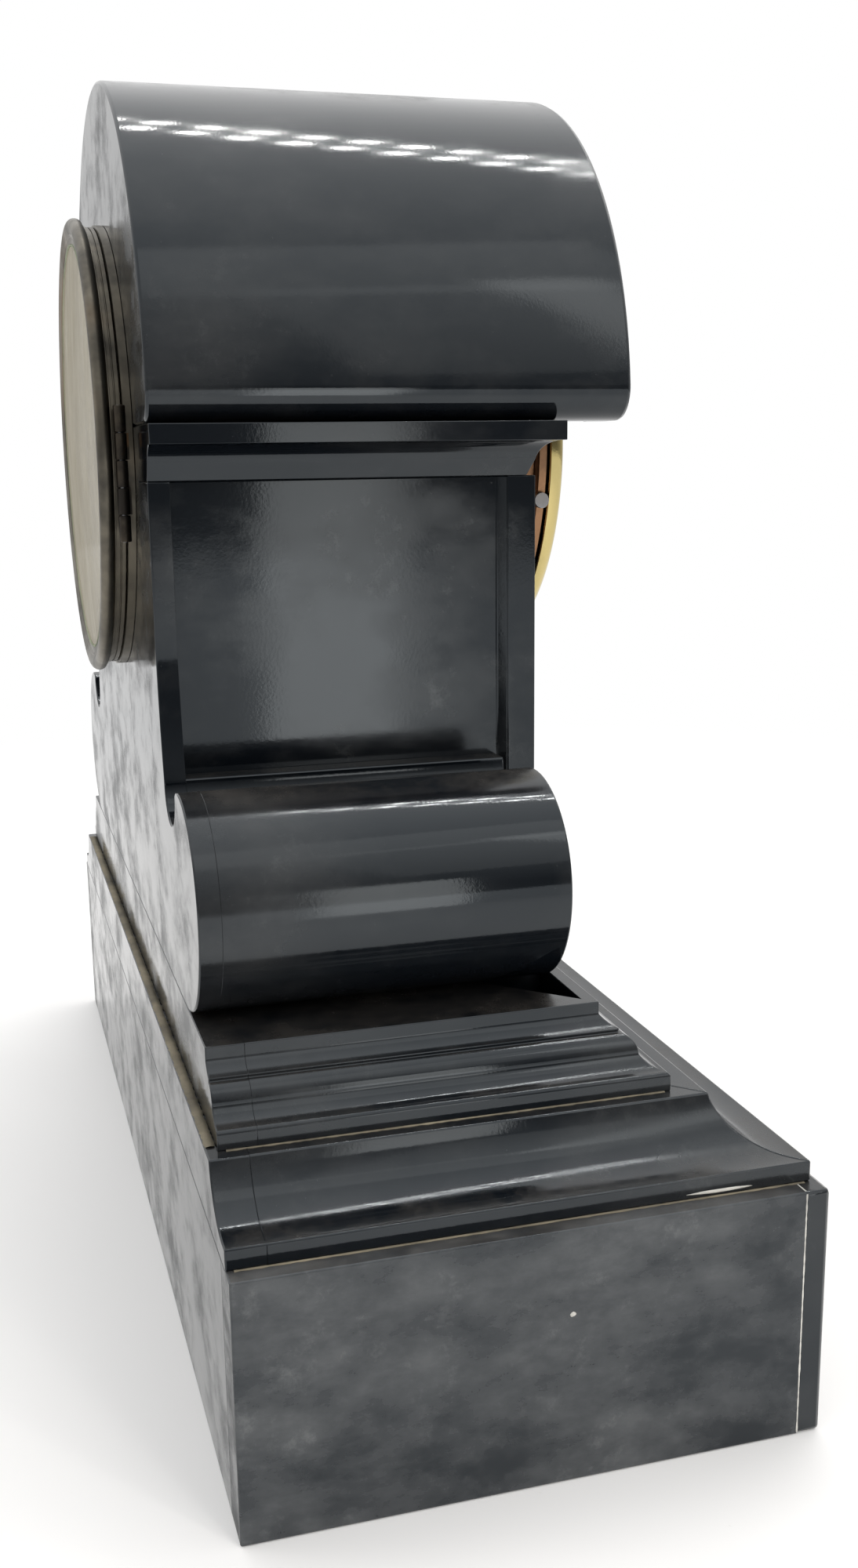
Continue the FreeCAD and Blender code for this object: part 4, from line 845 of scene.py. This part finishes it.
# rear ring, collar and door
# outlines are (radius, distance behind the rear ring's front) in mm
rear = {
    "ring": [(58.3, 0.0), (65.6, 0.0), (66.0, 0.35), (66.0, 2.6), (65.6, 3.0), (58.3, 3.0)],
    "doorFoot": [(58.5, 3.9), (65.6, 3.9), (66.0, 4.2), (66.0, 4.8)],
    "doorRound": (62.6, 4.65, 3.4, 4.35),  # middle, half width and height
    "doorArc": (12, 150, 22),
    "doorHead": [(59.5, 6.7), (59.5, 5.5), (58.5, 5.5)],
    "doorLeaf": (3.9, 5.05),
    "fixedLeaf": (1.85, 3.0),
    "leafReach": 6.0,
    "knob": [
        (0.0, 0.0), (1.6, 0.0), (1.4, 0.5), (0.9, 1.2), (0.9, 2.2), (2.0, 2.9), (2.5, 3.8),
        (2.2, 4.7), (1.2, 5.2), (0.0, 5.3),
    ],
    "knobPlace": (54.5, 55.1, 256.0),
}
rearFront = boxOf("rear_ring")[0][1]


def rearDoorSection():
    # half-round ring with a fine step at its inner edge: (radius, depth) = middle + (half width
    # cos a, height sin a)
    r, distance, halfWidth, height = rear["doorRound"]
    a = np.radians(np.linspace(*rear["doorArc"]))
    rounded = np.stack(
        [r + halfWidth * np.cos(a), rearFront + distance + height * np.sin(a)], -1).tolist()
    return behind(rear["doorFoot"], rearFront) + rounded + behind(rear["doorHead"], rearFront)


doorRing = turnedRing("rearDoorRing", rearDoorSection(), dialAxis, "bright_brass", "rear_door")
rearRing = turnedRing(
    "rearRing", behind(rear["ring"], rearFront), dialAxis, "coppery_brass", "case")
rearDoorKnuckles = hingeKnuckles(
    "rearDoorKnuckles", "rear_hinge_pin", 0, rearFront, rear["doorLeaf"], rear["leafReach"],
    "bright_brass", "rear_door")
rearRingKnuckles = hingeKnuckles(
    "rearRingKnuckles", "rear_hinge_pin", 1, rearFront, rear["fixedLeaf"], rear["leafReach"],
    "coppery_brass", "case")
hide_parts("rear_door_ring")
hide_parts("rear_ring")
knob = turnedRing("rearDoorKnob", rear["knob"], (0.0, 0.0), "bright_brass", "rear_door", "knob")
knob.data.transform(Matrix.Translation(Vector(rear["knobPlace"]) * mm))
print("rear door made")

# metal pieces of the movement, and the dial: width of the softened edges in mm
softened = {
    "rear_collar": 0.25, "glass_retainer": 0.15, "rear_door_plate": 0.2,
    "bell": 0.3, "bell_stand": 0.2, "clamp_straps": 0.2, "front_plate": 0.25, "back_plate": 0.25,
    "pendulum_bob": 0.3, "suspension_cock": 0.3, "dial": 0.15, "hour_hand": 0.08,
    "minute_hand": 0.08, "hammer": 0.12, "anchor": 0.12,
}
bodies = frame["record"]["behaviour"]["bodies"]
bodyOf = {node: name for name, listed in bodies.items() for node in listed}
slotOf = {s["node"]: s["material_slot"] for s in frame["record"]["subparts"]}
for node, width in softened.items():
    piece = mergedCopy(
        node, "dressed_" + node, slotOf[node], bodyOf[node], width,
        softening["metalCorner"], softening["metalCrisp"])
dressed = set(softened) | set(slateNodes)
dressed |= {"bezel_ring", "bezel_glass", "dial_ring", "rear_door_ring", "rear_ring"}
for node, obj in nodes.items():
    if node in dressed:
        continue
    if not obj.material_slots:
        obj.data.materials.append(finishes[slotOf[node]])
    for slot in obj.material_slots:
        slot.material = finishes[slotOf[node]]
print("movement dressed")

# filler, chips and grime
marks = {
    "sunk": 0.02,
    "endCount": 60,
    "endEnds": (0.6, 0.4),
    "endWidths": (0.26, 0.22, 0.14),
    "endWave": 0.9,
    "endLift": (0.07, 0, 0),
    "topCount": 160,
    "topInset": 0.6,
    "topWidths": (0.25, 0.25),
    "topLift": (0, 0, 0.06),
    "endChip": (7.0, 46.3),
    "endChipSize": (1.0, 0.9, 0.1),
    "ledgeChip": (195.52, 49.0, 70.3),
    "ledgeChipSize": (8.5, 0.45, 0.1),
    "ledgeChipCount": 40,
    "chipNoise": 0.35,
    "chipOwnShare": 0.6,  # of a point's own radius; the rest comes from the point beside it
    "chipTopShare": 0.6,
    "shoulderShare": 0.6,
}
grime = {
    "sideCount": 90,
    "sideEnds": (2.0, 1.95),
    "sideStep": 0.25,
    "sideWidths": (0.5, 0.7),
    "sideLift": (0, 0, 0.3),
    "frontCount": 260,
    "frontHalf": 169,
    "frontStep": 1.4,
    "frontWidths": (2.2, 0.7),
    "frontLift": (0, 0, 0.5),
}
rng = np.random.default_rng(7)


def track(count, x, y, z):
    # a path of count points in mm, of which each coordinate is one value or a row of values
    return np.stack([np.broadcast_to(np.asarray(v, float), count) for v in (x, y, z)], -1)


def ribbon(name, path, across, widths, lift, material):
    # a thin irregular strip: points = path(t) ± width(t)/2 across, raised by lift
    across = np.asarray(across, float)
    lift = np.asarray(lift, float)
    widths = widths[:, None]
    left = path - across * widths / 2
    right = path + across * widths / 2
    shoulder = lift * marks["shoulderShare"]
    points = np.stack([left, left + shoulder, path + lift, right + shoulder, right], 1)
    obj = meshObject(name, points * mm, gridFaces(len(path), 5, False, True), material, "case")
    recalculate(obj)


def blob(name, place, size, count=18):
    # a low chip on a face to +X: a ring of noisy radius round a raised middle, point = place
    # + radius(a) (along cos a + across sin a)
    a = np.linspace(0, 2 * np.pi, count, endpoint=False)
    noisy = 1 + marks["chipNoise"] * rng.standard_normal(count).cumsum() / count**0.5
    own = marks["chipOwnShare"]
    noisy = noisy * own + (1 - own) * np.roll(noisy, 1)
    place = np.asarray(place, float)
    out = np.array([size[2], 0.0, 0.0])
    ring = np.stack([np.zeros(count), np.cos(a) * size[0], np.sin(a) * size[1]], -1)
    low = place + ring * noisy[:, None]
    high = place + ring * noisy[:, None] * marks["chipTopShare"] + out
    points = np.concatenate([low, high, [place + out]])
    faces = gridFaces(2, count, False, True)
    faces += [(count + i, count + (i + 1) % count, 2 * count) for i in range(count)]
    faces.append(tuple(range(count)))
    obj = meshObject(name, points * mm, faces, "filler", "case")
    recalculate(obj)


# the joint between the plinth's ends and its back is filled
backLow, backHigh = boxOf("plinth_back")
endX, jointY, plinthTop = backHigh[0], backLow[1], backHigh[2]
count = marks["endCount"]
z = np.linspace(marks["endEnds"][0], plinthTop - marks["endEnds"][1], count)
ground, swing, jitter = marks["endWidths"]
width = ground + swing * np.abs(np.sin(z * marks["endWave"]) * rng.random(count))
width = width + jitter * rng.random(count)
path = track(count, endX - marks["sunk"], jointY, z)
ribbon("endFiller", path, (0, 1, 0), width, marks["endLift"], "filler")
count = marks["topCount"]
half = endX - marks["topInset"]
path = track(count, np.linspace(-half, half, count), jointY, plinthTop - marks["sunk"])
width = marks["topWidths"][0] + marks["topWidths"][1] * rng.random(count)
ribbon("topFiller", path, (0, 1, 0), width, marks["topLift"], "filler")
blob("endChip", (endX - marks["sunk"], *marks["endChip"]), marks["endChipSize"])
blob("ledgeChip", marks["ledgeChip"], marks["ledgeChipSize"], marks["ledgeChipCount"])

# grime packed into the ledges between the courses
ledges = (("cavetto_front", "cavetto_back"), ("torus_front", "torus_side_left"))
for index, (frontSlab, backSlab) in enumerate(ledges):
    (_, y0, z0), (halfX, _, _) = boxOf(frontSlab)
    y1 = boxOf(backSlab)[1][1]
    for side, sideName in ((-1, "Left"), (1, "Right")):
        count = grime["sideCount"]
        t = np.linspace(y0 + grime["sideEnds"][0], y1 - grime["sideEnds"][1], count)
        width = grime["sideWidths"][0] + grime["sideWidths"][1] * rng.random(count)
        path = track(count, side * (halfX + grime["sideStep"]), t, z0 - marks["sunk"])
        name = "sideGrime" + str(index) + sideName
        ribbon(name, path, (1, 0, 0), width, grime["sideLift"], "grime")
(_, y0, z0), _ = boxOf("torus_front")
count = grime["frontCount"]
t = np.linspace(-grime["frontHalf"], grime["frontHalf"], count)
width = grime["frontWidths"][0] + grime["frontWidths"][1] * rng.random(count)
path = track(count, t, y0 - grime["frontStep"], z0 - marks["sunk"])
ribbon("frontGrime", path, (0, 1, 0), width, grime["frontLift"], "grime")
print("marks made")

# room, lights and camera
room = {
    "lampTone": (1.0, 0.965, 0.92),
    "wall": (0.74, 0.12),  # light from the left and from the right
    "overhead": 1.05,
    "overheadFrom": 0.1,
    "cameraPlace": (0.5196, -0.12365, 0.2516),
    "azimuth": 74.08,
    "elevation": 12.65,
    "roll": -0.85,
    "focalPixels": 1966.4,
    "center": (522.4, 1028.6),
    "frame": (1094, 2000),
    "sensor": 24.0,
    "clipStart": 0.01,
}
floorLook = {
    "tone": (0.80, 0.795, 0.79),
    "lift": 0.16,
    "speck": (0.45, 0.42, 0.38),
    "speckNoise": (260.0, 3.0, 0.6),
    "speckEdge": (0.72, 0.77),
    "speckShare": 0.16,
    "roughness": 0.5,
    "fade": (0.30, 0.95),  # metres from the middle
    "radii": [0.0, 0.5, 1.0, 2.0, 4.0],
    "sides": 96,
    "height": -0.0002,
}


def floorFinish():
    # pale speckled floor, lifted towards white where it is seen, and fading into the backdrop
    look = floorLook
    f = Finish("paleFloor")
    dots = f.rise(f.noise(*look["speckNoise"]), "Fac", *look["speckEdge"])
    amount = f.calc("MULTIPLY", (dots, "Color"), look["speckShare"])
    color = f.blendColor((amount, "Value"), look["tone"], look["speck"])
    f.join(color, "Result", f.shader, "Base Color")
    f.put(Roughness=look["roughness"])
    path = f.add("ShaderNodeLightPath")
    seen = f.calc("MAXIMUM", (path, "Is Camera Ray"), (path, "Is Transmission Ray"))
    seen = f.calc("MAXIMUM", (seen, "Value"), (path, "Is Glossy Ray"))
    lift = f.calc("MULTIPLY", (seen, "Value"), look["lift"])
    f.join(color, "Result", f.shader, "Emission Color")
    f.join(lift, "Value", f.shader, "Emission Strength")
    far = f.add("ShaderNodeVectorMath", operation="LENGTH")
    f.join(f.coords, "Object", far, "Vector")
    fade = f.rise(far, "Value", *look["fade"])
    amount = f.calc("MULTIPLY", (fade, "Color"), (seen, "Value"))
    white = f.add("ShaderNodeEmission")
    white.inputs["Strength"].default_value = 1.0
    mix = f.blendShader((amount, "Value"), (f.shader, "BSDF"), (white, "Emission"))
    f.join(mix, "Shader", f.out, "Surface")
    return f.mat


def floorDisc():
    # a flat round floor: rings of points, x = r cos a, y = r sin a
    radii = np.array(floorLook["radii"])
    sides = floorLook["sides"]
    angle = np.linspace(0, 2 * np.pi, sides, endpoint=False)
    x = radii[None, :] * np.cos(angle)[:, None]
    y = radii[None, :] * np.sin(angle)[:, None]
    points = np.stack([x, y, np.full_like(x, floorLook["height"])], -1)
    mesh = bpy.data.meshes.new("floor")
    faces = gridFaces(sides, len(radii), True, False)
    mesh.from_pydata(points.reshape(-1, 3).tolist(), [], faces)
    obj = bpy.data.objects.new("floor", mesh)
    bpy.context.collection.objects.link(obj)
    mesh.materials.append(floorFinish())
    recalculate(obj)
    if obj.data.polygons[0].normal.z < 0:
        obj.data.flip_normals()
    return obj


floorDisc()

# the backdrop is white where it is seen; its light comes from the left and from above, and the
# side that the polished end faces is dim
world = bpy.data.worlds.new("studio")
bpy.context.scene.world = world
world.use_nodes = True
tree = world.node_tree
tree.nodes.clear()


def worldNode(kind, **values):
    # a node of the backdrop, with values for its inputs
    node = tree.nodes.new(kind)
    for key, value in values.items():
        node.inputs[key.replace("_", " ")].default_value = value
    return node


def wire(a, outName, b, inName):
    # a link from an output of a to an input of b, which is a name or a number
    tree.links.new(a.outputs[outName], b.inputs[inName])


output = worldNode("ShaderNodeOutputWorld")
direction = worldNode("ShaderNodeTexCoord")
split = worldNode("ShaderNodeSeparateXYZ")
wire(direction, "Generated", split, "Vector")
across = worldNode(
    "ShaderNodeMapRange", From_Min=-1.0, From_Max=1.0,
    To_Min=room["wall"][0], To_Max=room["wall"][1])
across.interpolation_type = "SMOOTHSTEP"
wire(split, "X", across, "Value")
above = worldNode(
    "ShaderNodeMapRange", From_Min=room["overheadFrom"], From_Max=1.0,
    To_Min=0.0, To_Max=room["overhead"])
wire(split, "Z", above, "Value")
level = worldNode("ShaderNodeMath")
level.operation = "ADD"
wire(across, "Result", level, 0)
wire(above, "Result", level, 1)
lit = worldNode("ShaderNodeBackground", Color=(1, 1, 1, 1))
wire(level, "Value", lit, "Strength")
seen = worldNode("ShaderNodeBackground", Color=(1, 1, 1, 1), Strength=1.0)
path = worldNode("ShaderNodeLightPath")
most = worldNode("ShaderNodeMath")
most.operation = "MAXIMUM"
wire(path, "Is Camera Ray", most, 0)
wire(path, "Is Transmission Ray", most, 1)
mix = worldNode("ShaderNodeMixShader")
wire(most, "Value", mix, "Fac")
wire(lit, "Background", mix, 1)
wire(seen, "Background", mix, 2)
wire(mix, "Shader", output, "Surface")

# each soft lamp: place and aim in metres, width and height, watts
lamps = {
    "softPanel": ((0.93, 0.34, 1.38), (0.09, -0.02, 0.30), (0.66, 0.42), 1.9),
    "tallWindow": ((1.22, 0.68, 0.95), (0.10, 0.05, 0.25), (0.14, 1.00), 2.6),
    "doorway": ((0.72, 0.125, 0.145), (0.00, 0.105, 0.14), (0.100, 0.29), 1.0),
    "sideWall": ((1.30, 0.58, 1.05), (0.10, 0.04, 0.28), (0.60, 0.80), 2.6),
    "frontFill": ((-0.5, -1.7, 0.9), (0.0, 0.0, 0.18), (1.0, 0.8), 4.0),
    "backFill": ((-0.9, 1.5, 1.1), (0.0, 0.0, 0.18), (0.9, 0.9), 4.0),
}
# panels of falling size stand in one place, so that a lamp's reflection fades at its edge
panelShares = (1.0, 0.84, 0.68, 0.52, 0.36)
# two rows of small ceiling lamps, the dotted line along the top of the drum
strip = {
    "start": (-0.57, 0.00, 1.61),
    "end": (-0.06, 0.66, 1.63),
    "aim": (0.06, 0.0, 0.34),
    "pairs": 13,
    "rowStep": (0.050, -0.014, 0.0),
    "size": (0.024, 0.028),
    "watts": 0.12,
}


def lampAt(name, place, aim, size, watts):
    # a rectangular lamp that stands at a place and shines at its aim
    data = bpy.data.lights.new(name, "AREA")
    data.shape = "RECTANGLE"
    data.size, data.size_y = size
    data.energy = watts
    data.color = room["lampTone"]
    lamp = bpy.data.objects.new(name, data)
    bpy.context.collection.objects.link(lamp)
    lamp.location = place
    lamp.rotation_euler = (Vector(aim) - Vector(place)).to_track_quat("-Z", "Y").to_euler()


for name, (place, aim, size, watts) in lamps.items():
    for index, share in enumerate(panelShares):
        panel = (size[0] * share, size[1] * share)
        lampAt(name + str(index), place, aim, panel, watts / len(panelShares))
stripStart, stripEnd, rowStep = (Vector(strip[key]) for key in ("start", "end", "rowStep"))
for i in range(2 * strip["pairs"]):
    side = 1 if i % 2 else -1
    place = stripStart.lerp(stripEnd, (i // 2) / (strip["pairs"] - 1)) + rowStep * side
    lampAt("stripLamp" + str(i), place, strip["aim"], strip["size"], strip["watts"])

# camera: its back points from the object to it, and roll turns it round that line
az, el, roll = (math.radians(room[key]) for key in ("azimuth", "elevation", "roll"))
back = Vector((math.sin(az) * math.cos(el), -math.cos(az) * math.cos(el), math.sin(el)))
right = Vector((0, 0, 1)).cross(back).normalized()
up = back.cross(right)
rolledRight = right * math.cos(roll) + up * math.sin(roll)
rolledUp = up * math.cos(roll) - right * math.sin(roll)
frameWidth, frameHeight = room["frame"]
camera = bpy.data.cameras.new("photoCamera")
camera.sensor_fit = "VERTICAL"
camera.sensor_height = room["sensor"]
camera.lens = room["focalPixels"] / frameHeight * camera.sensor_height
camera.shift_x = (frameWidth / 2 - room["center"][0]) / frameHeight
camera.shift_y = (room["center"][1] - frameHeight / 2) / frameHeight
camera.clip_start = room["clipStart"]
cameraObject = bpy.data.objects.new("photoCamera", camera)
bpy.context.collection.objects.link(cameraObject)
turn = Matrix((rolledRight, rolledUp, back)).transposed()
cameraObject.matrix_world = Matrix.Translation(room["cameraPlace"]) @ turn.to_4x4()
bpy.context.scene.camera = cameraObject
bpy.context.scene.view_settings.view_transform = "Standard"
print("room ready")

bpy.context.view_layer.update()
